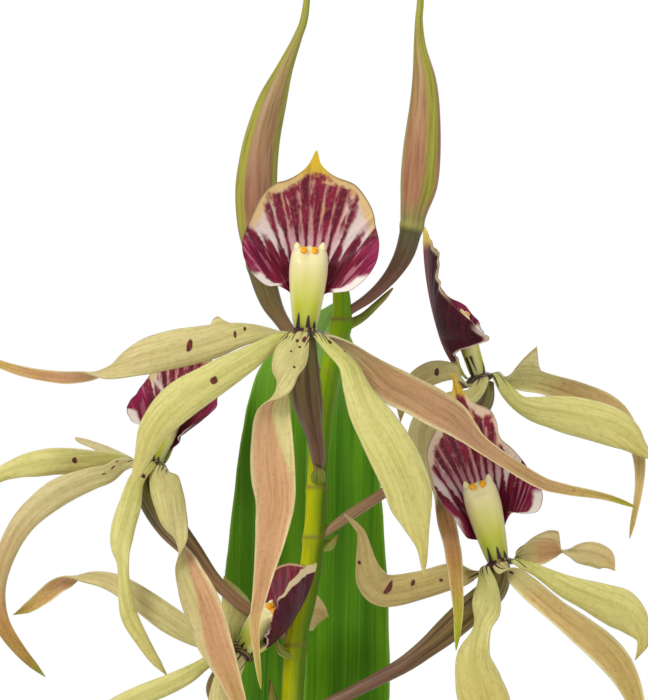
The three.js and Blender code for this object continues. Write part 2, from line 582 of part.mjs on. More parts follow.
// Blooms. A tepal holds its angle round the ring, measured from the bloom's front towards its right, and its
// rows of [x, y, z, half width, roll]. The ovary holds rows of [x, y, z, radius] from the stalk to the ring.
// The column turns about its own axis, towards the bloom's right.
const blooms = {
  top: {
    centre: [1, -18, 386.6],
    up: [0.03, -0.04, 1],
    front: [0, -1, 0],
    size: 1,
    wide: 1,
    rim: 'open',
    columnSize: 1,
    columnWide: 1,
    columnTurn: 0,
    ovary: [
      [3.7, -2.5, 360.2, 1.1], [3.7, -4.4, 361.2, 1.4], [3.3, -7.4, 364, 1.6], [2.6, -10.4, 367.4, 1.9],
      [1.8, -13.2, 371.4, 2.7], [1.1, -15.4, 375.6, 3], [0.9, -17, 380, 2.7], [1, -17.9, 384, 2.2],
      [1, -18, 386.1, 2.1],
    ],
    sepal_left: {
      angle: -112,
      points: [
        [-10, -19.5, 386.8, 2.4, 30], [-19, -21, 384.4, 3.6, 6], [-28, -22, 382.4, 3.7, 0],
        [-34, -22, 380.6, 2.9, 24], [-38.6, -22, 379, 2.2, 75, -0.5], [-43, -22, 378, 1.7, 130],
        [-48, -21.5, 377.8, 1.3, 155], [-56, -20, 379.2, 1, 165], [-65, -18, 382.6, 0.45, 165],
      ],
    },
    petal_left: {
      angle: -56,
      points: [
        [-4, -21, 385.4, 1.3, 10], [-10, -23, 381.4, 2.5, 0], [-17, -24.5, 377.2, 3.4, 0],
        [-24, -25.5, 372.6, 3.9, 0], [-28.6, -25, 367.4, 3.1, 0], [-31, -23.5, 361.6, 1.7, 0],
        [-33, -22, 356, 0.5, 0],
      ],
    },
    sepal_middle: {
      angle: -8,
      points: [
        [-1.4, -24, 382.6, 3.4, 0], [-3.2, -25.4, 379, 3, 30], [-4.4, -26, 375.4, 2.9, 85, -0.7],
        [-5.6, -26, 371, 3.7, 150], [-5.6, -26, 365, 4.2, 172], [-5.2, -26, 359, 4.4, 180],
        [-4.8, -26, 353, 3.9, 180], [-6, -26, 344.6, 2.8, 180], [-7.6, -26, 336, 1.6, 180],
        [-8.8, -25.5, 328, 0.9, 180], [-7.6, -24.5, 316.2, 0.4, 180],
      ],
    },
    petal_right: {
      angle: 50,
      points: [
        [6, -22, 384, 1.5, -30], [9.8, -24.5, 380.2, 2.2, -40], [11.6, -26.5, 375.4, 2.9, -20],
        [13.4, -28, 371, 3.8, 0], [15.8, -29, 367, 4.4, 0], [18.8, -29.5, 361.6, 4.8, 0],
        [21.2, -29, 356, 4.7, 0], [22, -28.5, 352.4, 4.2, 0], [23, -28, 348.6, 2.7, 0],
        [24.2, -27.5, 343.8, 1.1, 0], [24.4, -27, 338.4, 0.4, 0],
      ],
    },
    sepal_right: {
      angle: 106,
      points: [
        [11, -20, 383, 2.1, -125], [17.6, -22, 376.8, 3.6, -160], [22.4, -23, 374.2, 3.7, -168],
        [26.6, -23.5, 371.8, 3.7, -170], [30, -23.5, 369.8, 3.4, -172], [33, -23, 367, 2.4, -175],
        [36.4, -22.5, 364, 1.6, -175], [46.6, -21, 357.4, 1.3, -178], [52, -20, 355.6, 1.1, -180],
        [60.4, -19, 354, 0.7, -180], [66.8, -18, 351.8, 0.4, -180],
      ],
    },
  },
  right: {
    centre: [39.6, -8, 340.4],
    up: [-0.28, 0.06, 0.96],
    front: [-0.05, -1, 0],
    size: 1,
    wide: 1,
    rim: 'turned',
    columnSize: 1,
    columnWide: 0.94,
    columnTurn: 0,
    ovary: [
      [1.3, 0, 308.4, 1.1], [4, -0.5, 311.2, 1.3], [10, -1.5, 314.4, 1.3], [15, -2, 317, 1.4],
      [20.8, -2.8, 320.2, 1.7], [25.4, -3.4, 323.6, 2], [29.4, -4, 327, 2.6], [34, -5.4, 331.2, 2.9],
      [38, -7, 334.8, 2.8], [39.7, -7.9, 338, 2.3], [39.7, -8, 339.9, 2.1],
    ],
    sepal_left: {
      angle: -108,
      points: [
        [31, -6.5, 338.2, 2.6, 10], [25, -6, 336.4, 2.8, 0], [20, -6, 335.2, 3.1, 0],
        [16.4, -7, 335.2, 3.3, 0], [14.2, -8.4, 337.4, 3, 0], [13.2, -9.6, 340.6, 2.1, 0],
        [12.8, -10.4, 343.4, 1.5, 0], [12, -11, 347, 0.8, 0], [8.8, -12, 350.4, 0.4, 0],
      ],
    },
    petal_left: {
      angle: -52,
      points: [
        [37.2, -15, 333.4, 2.9, 0], [35.6, -16.5, 328.2, 2.6, 50], [34.2, -17, 322.4, 3.4, 10],
        [35.4, -17, 317, 4.7, 0], [37, -17, 311, 5, 0], [37.6, -16.5, 304, 4, 0], [36, -15.5, 295, 0.5, 0],
      ],
    },
    sepal_middle: {
      angle: 6,
      points: [
        [43, -13.4, 338.4, 2.4, -132], [45.8, -15.4, 336, 2.6, -145], [48.6, -16.8, 333.6, 2.5, -152],
        [52, -17.6, 330.8, 2.6, -155], [55.6, -18, 328, 3, -160], [59.2, -17.6, 325, 3.2, -165],
        [62.4, -16.6, 321.6, 3, -170], [65, -15.6, 317.4, 2.4, -175], [67, -14.4, 312, 1.6, -178],
        [68.6, -13.2, 307, 1, -180], [69.8, -12, 301, 0.4, -180],
      ],
    },
    petal_right: {
      angle: 64,
      points: [
        [46.6, -11, 339.6, 1.2, -20], [52, -12.5, 336.6, 2.2, -10], [56, -13, 334.8, 2.8, 0],
        [59.8, -13, 333.2, 3.5, 0], [63.6, -13, 331.6, 4.1, 0], [66.4, -12.6, 329, 3.2, 0],
        [68.2, -12, 325.4, 1.4, 0], [66.6, -11, 321.4, 0.4, 0],
      ],
    },
    sepal_right: {
      angle: 118,
      tooth: [0.48, 1, 3.2],
      points: [
        [43.4, -6.2, 342.2, 2.2, -130], [46, -5.6, 342.8, 2.7, -150], [48.8, -5, 343, 2.6, -150],
        [51.2, -4.6, 343, 1.7, -130], [53.2, -4.4, 342.8, 1.1, -70], [55.6, -4.2, 342.6, 2, -20], [58.6, -4.2, 342.2, 2.5, 0],
        [61.2, -4.6, 341, 2.1, 0], [62.8, -5, 339, 0.6, 0],
      ],
    },
  },
  rear: {
    centre: [36.2, 14, 377.2],
    up: [-0.29, -0.02, 0.955],
    front: [0.96, 0, 0.29],
    size: 0.92,
    wide: 0.92,
    rim: 'folded',
    columnSize: 0.82,
    columnWide: 1,
    columnTurn: 0,
    ovary: [
      [5.8, 0.4, 347, 0.9], [10, 1.4, 350, 1.1], [16.2, 3.6, 354, 1.1], [24, 6.8, 359.6, 1.3],
      [30, 9.6, 365.6, 1.8], [34, 12, 369.8, 2.6], [36.4, 13.4, 373.2, 2.6], [37, 14, 376.7, 2.1],
    ],
    sepal_right: {
      angle: 22,
      tooth: [0.355, 1, 4.6],
      points: [
        [41.6, 14.2, 377, 1.7, -120], [44, 14.4, 377.4, 2.5, -145], [46.8, 14.6, 377.2, 2.7, -150],
        [50.4, 15, 376.2, 2.4, -155], [57.4, 16, 373.8, 2.8, -160],
        [63.2, 16, 370.6, 2.6, -170], [66.4, 15.5, 366.6, 2, -175], [68.2, 15, 362.6, 1.4, -178],
        [68.4, 14, 355.8, 0.9, -180], [66.4, 12, 345, 0.4, -180],
      ],
    },
    petal_right: {
      angle: -30,
      points: [
        [43.4, 10.4, 372.8, 1.6, 0], [46.8, 9, 371.2, 2.5, 0], [51.6, 8, 370.4, 3.5, 0],
        [56.4, 7, 369.4, 4, 0], [61.8, 6.5, 367.8, 4, 0], [65.6, 6.5, 365.8, 3.2, 0],
        [69.2, 7, 362.6, 1.3, 0], [73.6, 8, 360.6, 0.4, 0],
      ],
    },
    sepal_middle: {
      angle: -90,
      points: [
        [34.6, 7.4, 374, 1.6, 20], [30.6, 6.4, 372.6, 2.3, 10], [26.8, 5, 370.2, 2.8, 0],
        [24.4, 3, 366, 2.8, 0], [25, 0.5, 360.4, 2.6, 30], [26.6, -0.4, 355.4, 2.2, 85],
        [28.4, -1.8, 350.6, 2, 140], [29.4, -4, 347.2, 1.9, 160], [30.3, -9.4, 343, 1.7, 165],
        [30.8, -12.6, 338.6, 1.5, 170], [31.4, -13, 331, 1, 175], [31, -12, 323.4, 0.4, 180],
      ],
    },
    sepal_left: {
      angle: -140,
      points: [
        [31.2, 10.6, 378.6, 1.7, 20], [27, 10.4, 378.6, 2.4, 10], [23.2, 12, 376.2, 2.2, 0],
        [20.8, 13, 372.8, 1.4, 0], [20.2, 13.4, 368.4, 0.4, 0],
      ],
    },
    petal_left: {
      angle: 106,
      fromAbove: true,
      points: [
        [36, 21, 376, 1.8, 0], [34.4, 26, 373, 2.8, 0], [33, 31, 367.6, 3.6, 0],
        [33, 34.6, 360, 3.8, 0], [34, 36.6, 352, 2.6, 0], [35, 37, 345, 0.5, 0],
      ],
    },
  },
  left: {
    centre: [-29.4, 2, 360],
    up: [0.28, 0.12, 0.95],
    front: [-0.46, -0.85, 0.24],
    size: 0.78,
    wide: 0.88,
    rim: 'open',
    columnSize: 0.78,
    columnWide: 1,
    columnTurn: 0,
    ovary: [
      [-3.2, 0, 326, 0.9], [-6.6, -0.4, 328.6, 1.2], [-10.6, -0.6, 331.2, 1.3], [-14, -0.6, 334, 1.3],
      [-17.6, -0.6, 337.6, 1.4], [-21.6, -0.8, 342.8, 1.9], [-26, -1.4, 348, 2.7], [-29.4, -1, 353.4, 2.8],
      [-30.2, 0.9, 357, 2.4], [-29.6, 1.9, 359.5, 2.1],
    ],
    sepal_left: {
      angle: -112,
      fromAbove: true,
      points: [
        [-35.4, 6.6, 361.6, 1.2, 0], [-38.2, 10.6, 362.8, 1.5, 0], [-41, 15.4, 363.8, 1.5, 0],
        [-43.6, 21, 364.6, 1.1, 0], [-45.8, 27, 365, 0.4, 0],
      ],
    },
    petal_left: {
      angle: -66,
      points: [
        [-36.6, 1.6, 361.4, 1.4, 30], [-43.2, -2, 361, 2.4, 10], [-48.6, -4.4, 360.8, 2.7, 0],
        [-53.2, -4.6, 360.2, 2.5, 0], [-56.6, -4.4, 359.4, 2, 0], [-60.4, -4, 357.8, 1.4, 0],
        [-65.4, -2.6, 354, 0.8, 0], [-69, -1, 349, 0.4, 0],
      ],
    },
    sepal_middle: {
      angle: -24,
      points: [
        [-35.4, -2.6, 360.4, 1.5, 10], [-38.2, -5.6, 358.4, 1.9, 0], [-42, -6.8, 357.2, 2.3, 0],
        [-48.4, -7.6, 354.4, 2.8, 0], [-54.4, -8, 349.4, 2.4, 0], [-58.4, -7.6, 342.8, 2, 0],
        [-60.4, -7, 335.4, 1.8, 0], [-59.4, -6, 328.6, 1.6, 0], [-55.6, -5, 322.8, 1.2, 0],
        [-50.8, -4, 317.8, 0.4, 0],
      ],
    },
    petal_right: {
      angle: 17,
      points: [
        [-32.6, -5.4, 357.2, 1.6, 0], [-33.8, -9, 352.2, 2.3, 0], [-35.1, -10, 347.8, 2.4, 0],
        [-35.8, -11, 344, 2.1, 20], [-35.4, -11.4, 340.6, 1.5, 40], [-35.1, -11.4, 337.4, 1.2, 20],
        [-34.4, -11, 332.6, 1.6, 0], [-33.6, -10.4, 329.4, 1.7, 0], [-31.4, -10, 325.4, 1.4, 0],
        [-29, -9, 321.6, 1, 0], [-26.4, -8, 318.2, 0.4, 0],
      ],
    },
    sepal_right: {
      angle: 62,
      points: [
        [-27.4, -3.8, 358, 2.9, 0], [-26.4, -6.4, 354.2, 3.2, 0], [-25.4, -9, 349.8, 2.9, 20],
        [-24.2, -11.4, 344.6, 2.5, 80, -0.6], [-22.6, -13.2, 339.4, 2.9, 150], [-20.2, -14.4, 334, 3.7, 170],
        [-18.2, -15, 329, 3.8, 178], [-16.8, -15.4, 325, 3.5, 180], [-14.4, -15, 319.4, 2.5, 180], [-12, -14, 313, 1.5, 180],
        [-9, -12, 305, 0.4, 180],
      ],
    },
  },
  low: {
    centre: [-11.6, -6.5, 323],
    up: [0.61, -0.2, 0.77],
    front: [-0.76, -0.3, 0.57],
    size: 0.74,
    wide: 0.97,
    rim: 'cupped',
    columnSize: 0.68,
    columnWide: 1.12,
    columnTurn: 38,
    ovary: [
      [-4.5, 1.3, 307.4, 0.9], [-9, 2.6, 307.8, 1.2], [-14, 1.4, 310.6, 1.8], [-16.2, -1.6, 315.2, 2.4],
      [-14.4, -5, 319.6, 2.2], [-12, -6.4, 322.5, 2],
    ],
    sepal_left: {
      angle: -112,
      fromAbove: true,
      points: [
        [-9.6, 0.6, 325.6, 1.4, 0], [-6.6, 4.4, 327.2, 1.9, 20], [-3, 7, 328.6, 2.6, 40],
        [0.2, 8.6, 329.6, 3.3, 65], [2.4, 9, 330.2, 3.7, 80], [4.4, 8.8, 330, 2.4, 90], [5.6, 8, 329.4, 0.6, 90],
      ],
    },
    petal_left: {
      angle: -68,
      fromAbove: true,
      points: [
        [-13.8, -0.6, 327.6, 1.7, 0], [-12.8, 3.6, 330.4, 2.8, 0], [-13, 7.8, 333.6, 2.7, 0], [-15.4, 12, 337.2, 0.5, 0],
      ],
    },
    sepal_middle: {
      angle: -18,
      points: [
        [-20, -6.4, 325.8, 2.1, 0], [-26, -6, 329.2, 2.7, 0], [-31, -5, 332.8, 2.5, 0],
        [-36.4, -4, 336.6, 2.2, 30], [-42, -3, 338, 2, 60], [-47.6, -2.6, 336.8, 1.9, 140],
        [-51, -1, 334, 1.6, 170], [-54.2, 0, 331.6, 1.1, 180], [-57.4, 1, 330, 0.4, 180],
      ],
    },
    petal_right: {
      angle: 28,
      points: [
        [-18.4, -9.6, 321, 1.2, 0], [-22, -10.5, 318.6, 1.7, 0], [-26.4, -10.5, 316.4, 2, 0],
        [-32, -11, 314.2, 2, 0], [-37, -10, 312, 1.7, 0], [-44, -8, 308, 0.4, 0],
      ],
    },
    sepal_right: {
      angle: 80,
      points: [
        [-14, -12, 318.6, 2.6, 0], [-14.6, -12, 313.6, 3.6, 0], [-14.6, -11.4, 308, 3.8, 0],
        [-13.8, -9.6, 302, 2.4, 0], [-12.8, -8, 296.6, 0.5, 0],
      ],
    },
  },
};

function bloomFrame(bloom) {
  const up = vector(bloom.up).normalize();
  const front = vector(bloom.front);
  front.addScaledVector(up, -front.dot(up)).normalize();
  const right = up.clone().cross(front);
  return { centre: vector(bloom.centre), up, front, right };
}

// The first two rows of a tepal leave the ring straight outwards, with the front face up.
function tepalRows(frame, { angle, points, fromAbove }) {
  const turn = THREE.MathUtils.degToRad(angle);
  const outward = frame.front.clone().multiplyScalar(Math.cos(turn)).addScaledVector(frame.right, Math.sin(turn));
  const width = outward.clone().cross(frame.up);
  const rows = [[ringRadius, 0.95, 0], [ringNeck, 1.1, -0.4]].map(([radius, half, drop]) => {
    const place = frame.centre.clone().addScaledVector(outward, radius).addScaledVector(frame.up, drop);
    return [place.x, place.y, place.z, half, tepalCurl, width.x, width.y, width.z];
  });
  return rows.concat(bladeRows(points, fromAbove ? viewerAbove : viewerSide, tepalCurl));
}

const tepalNames = ['sepal_left', 'petal_left', 'sepal_middle', 'petal_right', 'sepal_right'];

function bloomGroup(name, bloom) {
  const frame = bloomFrame(bloom);
  const group = new THREE.Group();
  const own = new THREE.Group();
  const axes = new THREE.Matrix4().makeBasis(frame.right, frame.front.clone().negate(), frame.up);
  own.position.copy(frame.centre);
  own.quaternion.setFromRotationMatrix(axes);
  own.add(named(`bloom_${name}_lip`, lip(bloom), colours.lip, 0.45));
  own.add(named(`bloom_${name}_column`, column(bloom), colours.column, 0.5));
  group.add(own);
  group.add(named(`bloom_${name}_ovary`, tube(bloom.ovary, 8, 13), colours.ovary, 0.6));
  tepalNames.forEach((tepalName) => {
    const tepal = bloom[tepalName];
    const geometry = blade(tepalRows(frame, tepal), {
      stations: tepal.points.length + 3,
      across: 3,
      thickness: tepalThickness,
      tooth: tepal.tooth,
    });
    const colour = tepalName.startsWith('petal') ? colours.petal : colours.sepal;
    group.add(named(`bloom_${name}_${tepalName}`, geometry, colour, 0.55));
  });
  return group;
}

const plant = new THREE.Group();
plant.add(named('pot', pot(), colours.clay, 0.85));
plant.add(named('bark', bark(), colours.bark, 0.9));
plant.add(named('rhizome_and_roots', rhizome(), colours.rhizome, 0.8));
Object.entries(bulbs).forEach(([name, bulb]) => plant.add(named(name, pseudobulb(bulb), colours.bulb, 0.5)));
Object.entries(leaves).forEach(([name, points]) => {
  const rows = bladeRows(points, viewerSide, leafChannel);
  const shape = { stations: points.length + 1, across: 4, thickness: leafThickness };
  plant.add(named(name, blade(rows, shape), colours.leaf, 0.4));
});
plant.add(named('flower_stalk', stalk(), colours.stalk, 0.5));
Object.entries(buds).forEach(([name, rows]) => plant.add(named(name, tube(rows, 8, 18), colours.bud, 0.5)));
Object.entries(blooms).forEach(([name, bloom]) => plant.add(bloomGroup(name, bloom)));

export default plant;
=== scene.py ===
# The looks of a potted cockleshell orchid. Sizes are in millimetres unless a name says otherwise.
import math
import random
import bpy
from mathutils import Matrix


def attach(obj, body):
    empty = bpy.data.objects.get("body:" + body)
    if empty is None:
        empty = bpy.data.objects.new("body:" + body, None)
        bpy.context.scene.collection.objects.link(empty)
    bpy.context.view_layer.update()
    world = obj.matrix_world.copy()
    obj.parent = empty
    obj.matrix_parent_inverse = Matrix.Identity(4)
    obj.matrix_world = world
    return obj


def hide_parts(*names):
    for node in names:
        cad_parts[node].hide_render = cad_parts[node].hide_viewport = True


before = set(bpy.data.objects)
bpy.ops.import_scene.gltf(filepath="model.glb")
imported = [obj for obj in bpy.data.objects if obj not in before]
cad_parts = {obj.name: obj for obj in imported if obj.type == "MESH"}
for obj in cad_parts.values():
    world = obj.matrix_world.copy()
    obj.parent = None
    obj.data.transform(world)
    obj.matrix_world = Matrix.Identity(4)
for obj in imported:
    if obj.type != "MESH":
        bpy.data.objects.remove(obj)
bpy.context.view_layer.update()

from types import SimpleNamespace

import bpy
import numpy as np
from mathutils import Matrix, Vector, noise

MM = 0.001

# The photograph's frame
IMAGE_HEIGHT_PX = 700
MM_PER_PX = 0.2
VIEW_CENTRE = (4.8, 383)
LENS_MM = 400.0
SENSOR_MM = 36.0

# Driving dimensions, as in the solids
POT_HEIGHT = 106
POT_TOP_RADIUS = 60
POT_BASE_RADIUS = 43
POT_WALL = 4.5
POT_FLOOR = 7
RIM_HEIGHT = 17
RIM_STEP = 2.2
DRAIN_RADIUS = 4.5
DRAIN_RING = 24
DRAIN_COUNT = 4

BARK_TOP = 92
BARK_BED_TOP = 89.5
BARK_WALL_GAP = 1.4
BARK_CHIP_COUNT = 150
BARK_CHIP_SIZE = (16, 10, 5)

BULB_FOOT = 93
BULB_FLATTENING = 0.66
BULB_RIDGES = 7
BULB_RIDGE_DEPTH = 0.03
ROOT_RADIUS = 1.5
ROOT_COUNT = 12

LEAF_THICKNESS = 0.9
LEAF_CHANNEL = 0.2
BRACT_THICKNESS = 0.5
BRACT_CURL = -0.3

TEPAL_THICKNESS = 0.65
TEPAL_CURL = -0.22
RING_INSIDE = 1.2
RING_RADIUS = 2.75
RING_NECK = 4.3

LIP_THICKNESS = 0.8
LIP_THROAT = (0.6, 12, 5.4)
COLUMN_LEAN = 0.03
ANTHER_HEIGHT = 16.2
ANTHER_LOBES = {"left": -1.15, "right": 1.05}
FOOT_SUNK = 2.4
LEAF_SUNK = 4.0
LEAF_FOOT_FOLD = 0.75

# Seeds of the random draws
ROOT_SEED = 7
BARK_SEED = 21
CHIP_SEED = 5

# How finely the larger pieces are made
LIP_RAYS = 210
LIP_LEVELS = 30
BULB_SIDES = 72
BARK_SIDES = 72
POT_SIDES = 144
FLOOR_SIDES = 96

# Where a blade's roll is measured from
VIEWER_SIDE = (0, -1, 0)
VIEWER_ABOVE = (0, -0.25, 1)

# Pseudobulbs: outline rows of [share of the height, share of the radius]
BULB_OUTLINE = [
    [0, 0.5], [0.06, 0.78], [0.2, 1], [0.42, 0.96], [0.62, 0.74], [0.8, 0.5], [0.93, 0.39], [1, 0.34],
]

# Rows of [mm above the outline's end, share of its last girth] that round the tip
BULB_DOME = [[0.9, 0.86], [1.6, 0.6], [2.0, 0.25]]

# Papery sheaths as (start and end angle in degrees, share of the height that they reach)
SHEATH_FOOT = 0.03
SHEATH_GAPS = (1.3, 0.9)
SHEATHS = [(-40, 170, 0.34), (120, 380, 0.24)]

BULBS = {
    "pseudobulb_flowering": {"foot": [-9, 2], "top": [-8, 0.5], "height": 90, "radius": 17, "turn": 8},
    "pseudobulb_second": {"foot": [22, 13], "top": [26, 18], "height": 84, "radius": 16, "turn": 40},
    "pseudobulb_third": {"foot": [32, -18], "top": [38, -22], "height": 74, "radius": 14, "turn": 65},
    "pseudobulb_young": {"foot": [-37, -9], "top": [-41, -12], "height": 46, "radius": 9.5, "turn": 20},
}

# Round bodies run along rows of [x, y, z, radius].
RHIZOME_ROUTE = [
    [-38, -10, 87.5, 3.2], [-24, -4, 88.2, 4], [-9, 2, 88.2, 4.3], [6, 8, 88.2, 4.3], [22, 12, 88.2, 4.3],
    [30, -3, 88.2, 4.3], [33, -20, 87.5, 3.6],
]

STALK_ROUTE = [
    [-8, -1, 183.8, 2.7], [-7.6, -1.2, 200, 2.5], [-6.2, -1, 230, 2.4], [-4.2, -0.5, 265, 2.3],
    [-2.6, 0, 295, 2.25], [-1.6, 0, 313, 2.2], [-0.6, 0, 326, 2.25], [1.4, 0, 335, 2.2],
    [2.4, 0, 342, 2.15], [3.1, 0, 349, 2.15], [3.6, 0, 359, 2.05], [4.5, 0, 369, 2], [6.3, 0, 380, 2],
    [8, 0, 387, 2.15], [8.4, 0, 391, 1.9], [8.2, 0, 394.8, 1.6],
]

JOINT_HEIGHTS = [230, 266, 309, 323.4, 345, 355, 388.6]

BUDS = {
    "bud_left": [
        [3.4, 1.5, 378.7, 1.1], [0, 2.4, 383.6, 1.3], [-3.6, 3, 388.8, 1.5], [-5.7, 3.6, 392.4, 2.1],
        [-7.2, 4, 397, 2.6], [-8, 4, 403.2, 3.4], [-8.6, 4, 408.4, 4], [-8.8, 4, 415, 4.2],
        [-8.3, 4, 421, 3.9], [-7.3, 4, 426.6, 3.5], [-5.5, 4, 433, 2.9], [-3.1, 4, 439.4, 1.7],
        [-0.6, 4, 445.4, 0.95], [1, 4, 450.4, 0.75], [2, 4, 461, 0.4],
    ],
    "bud_right": [
        [10.9, 0.3, 391.5, 0.9], [13.6, 0.8, 393.3, 1.05], [16.4, 1.2, 395.8, 1.25],
        [18.9, 1.4, 398.8, 1.6], [21, 1.6, 402.6, 2], [22.3, 2, 407.4, 2.25], [22.8, 2, 411, 2.8],
        [23.8, 2, 416.4, 3.8], [24.4, 2, 423.6, 3.8], [24.9, 2, 431.6, 3.1], [24.8, 2, 437.4, 2.4],
        [24, 2, 443.6, 1.3], [23.8, 2, 449, 0.8], [24.1, 2, 453.4, 0.7], [23.8, 2, 461, 0.4],
    ],
}

# Blades run along rows of [x, y, z, half width, roll in degrees], and some rows end with a curl.
LEAVES = {
    "leaf_tall": [
        [-8, 4.4, 184, 4, 0], [-7.6, 5.6, 196, 6, 0], [-6, 10, 218, 10.5, 0], [-3, 15, 250, 15.2, 0],
        [-1, 18.5, 280, 17, 0], [0.7, 22, 313, 17.3, 0], [1, 23.6, 330, 16.9, 0], [1.4, 25, 348, 15.5, 0],
        [1.7, 26, 364, 13.8, 0], [2.4, 26.5, 375.6, 11.8, 0], [4, 26.8, 383, 8, 0],
        [5.6, 27, 388, 5.6, 0], [8, 27, 393.6, 0.8, 0],
    ],
    "leaf_front_left": [
        [-9, -5, 184, 3.6, 10], [-12, -8, 198, 6, 12], [-22, -17, 226, 11, 16], [-38, -28, 252, 14.5, 20],
        [-60, -40, 272, 15.5, 24], [-85, -52, 280, 13, 28], [-106, -62, 276, 8, 30],
        [-118, -68, 270, 1, 30],
    ],
    "leaf_second_right": [
        [29.5, 18, 178, 3.6, -20], [34, 19, 192, 6, -20], [46, 22, 222, 11, -24], [62, 26, 252, 15, -28],
        [84, 30, 276, 16, -34], [108, 34, 287, 13, -38], [128, 38, 286, 8, -40], [140, 40, 281, 1, -40],
    ],
    "leaf_second_back": [
        [24, 22.5, 178, 3.4, 0], [22, 28, 192, 6, 0], [14, 40, 222, 11, -6], [4, 54, 250, 14.5, -10],
        [-8, 70, 272, 15, -14], [-20, 86, 284, 12, -16], [-28, 98, 286, 7.5, -18],
        [-33, 105, 283, 1, -18],
    ],
    "leaf_third_front": [
        [41, -23, 168, 3.4, -10], [44, -27, 180, 6, -12], [50, -37, 204, 10.5, -16],
        [60, -50, 228, 14, -20], [74, -64, 246, 14.5, -26], [90, -78, 254, 12, -30],
        [104, -89, 252, 7, -32], [112, -95, 247, 1, -32],
    ],
    "leaf_third_back": [
        [37, -17.5, 168, 3.4, -30], [42, -15, 182, 5.5, -32], [58, -9, 208, 10, -36],
        [80, -2, 230, 13.5, -40], [104, 5, 242, 14, -44], [126, 11, 241, 11, -48],
        [142, 15, 233, 6.5, -50], [150, 17, 226, 1, -50],
    ],
    "leaf_young": [
        [-41.5, -12, 140, 3.2, 20], [-44, -13, 152, 5, 22], [-52, -16, 176, 8, 26],
        [-64, -20, 198, 10, 30], [-80, -24, 214, 10, 34], [-96, -28, 219, 7, 38], [-108, -31, 216, 1, 40],
    ],
}

BRACTS = [
    [[-6.4, -2, 230, 2.2, 30], [-7, -4.4, 240, 2.4, 30], [-6.2, -4.6, 250, 0.5, 30]],
    [[-4, -2, 266, 2.2, -30], [-3.2, -4, 276, 2.3, -30], [-2.8, -4, 285, 0.5, -30]],
    [[-1.8, 0.5, 308, 1.8, 60], [-4.4, 0.6, 312, 1.8, 60], [-6, 0.8, 317, 0.5, 60]],
    [[-0.9, -0.8, 322.4, 1.6, 60], [-3.6, -2.4, 323.4, 1.5, 60], [-5, -2.8, 325.4, 0.5, 60]],
    [[3.2, 0, 345, 1.8, -50], [5.8, 0.2, 344.4, 1.6, -50], [7.6, 0.2, 346, 0.5, -50]],
    [[3.7, -2.3, 356.4, 1.4, 0], [3.6, -4.3, 358, 1.4, 0], [3.1, -6, 360, 0.5, 0]],
    [
        [8.8, 0.2, 388.2, 1.5, -45], [12.2, 0.5, 389.7, 1.1, -45], [15.2, 0.8, 392.2, 0.8, -45],
        [18.6, 1.2, 395.4, 0.5, -45],
    ],
]

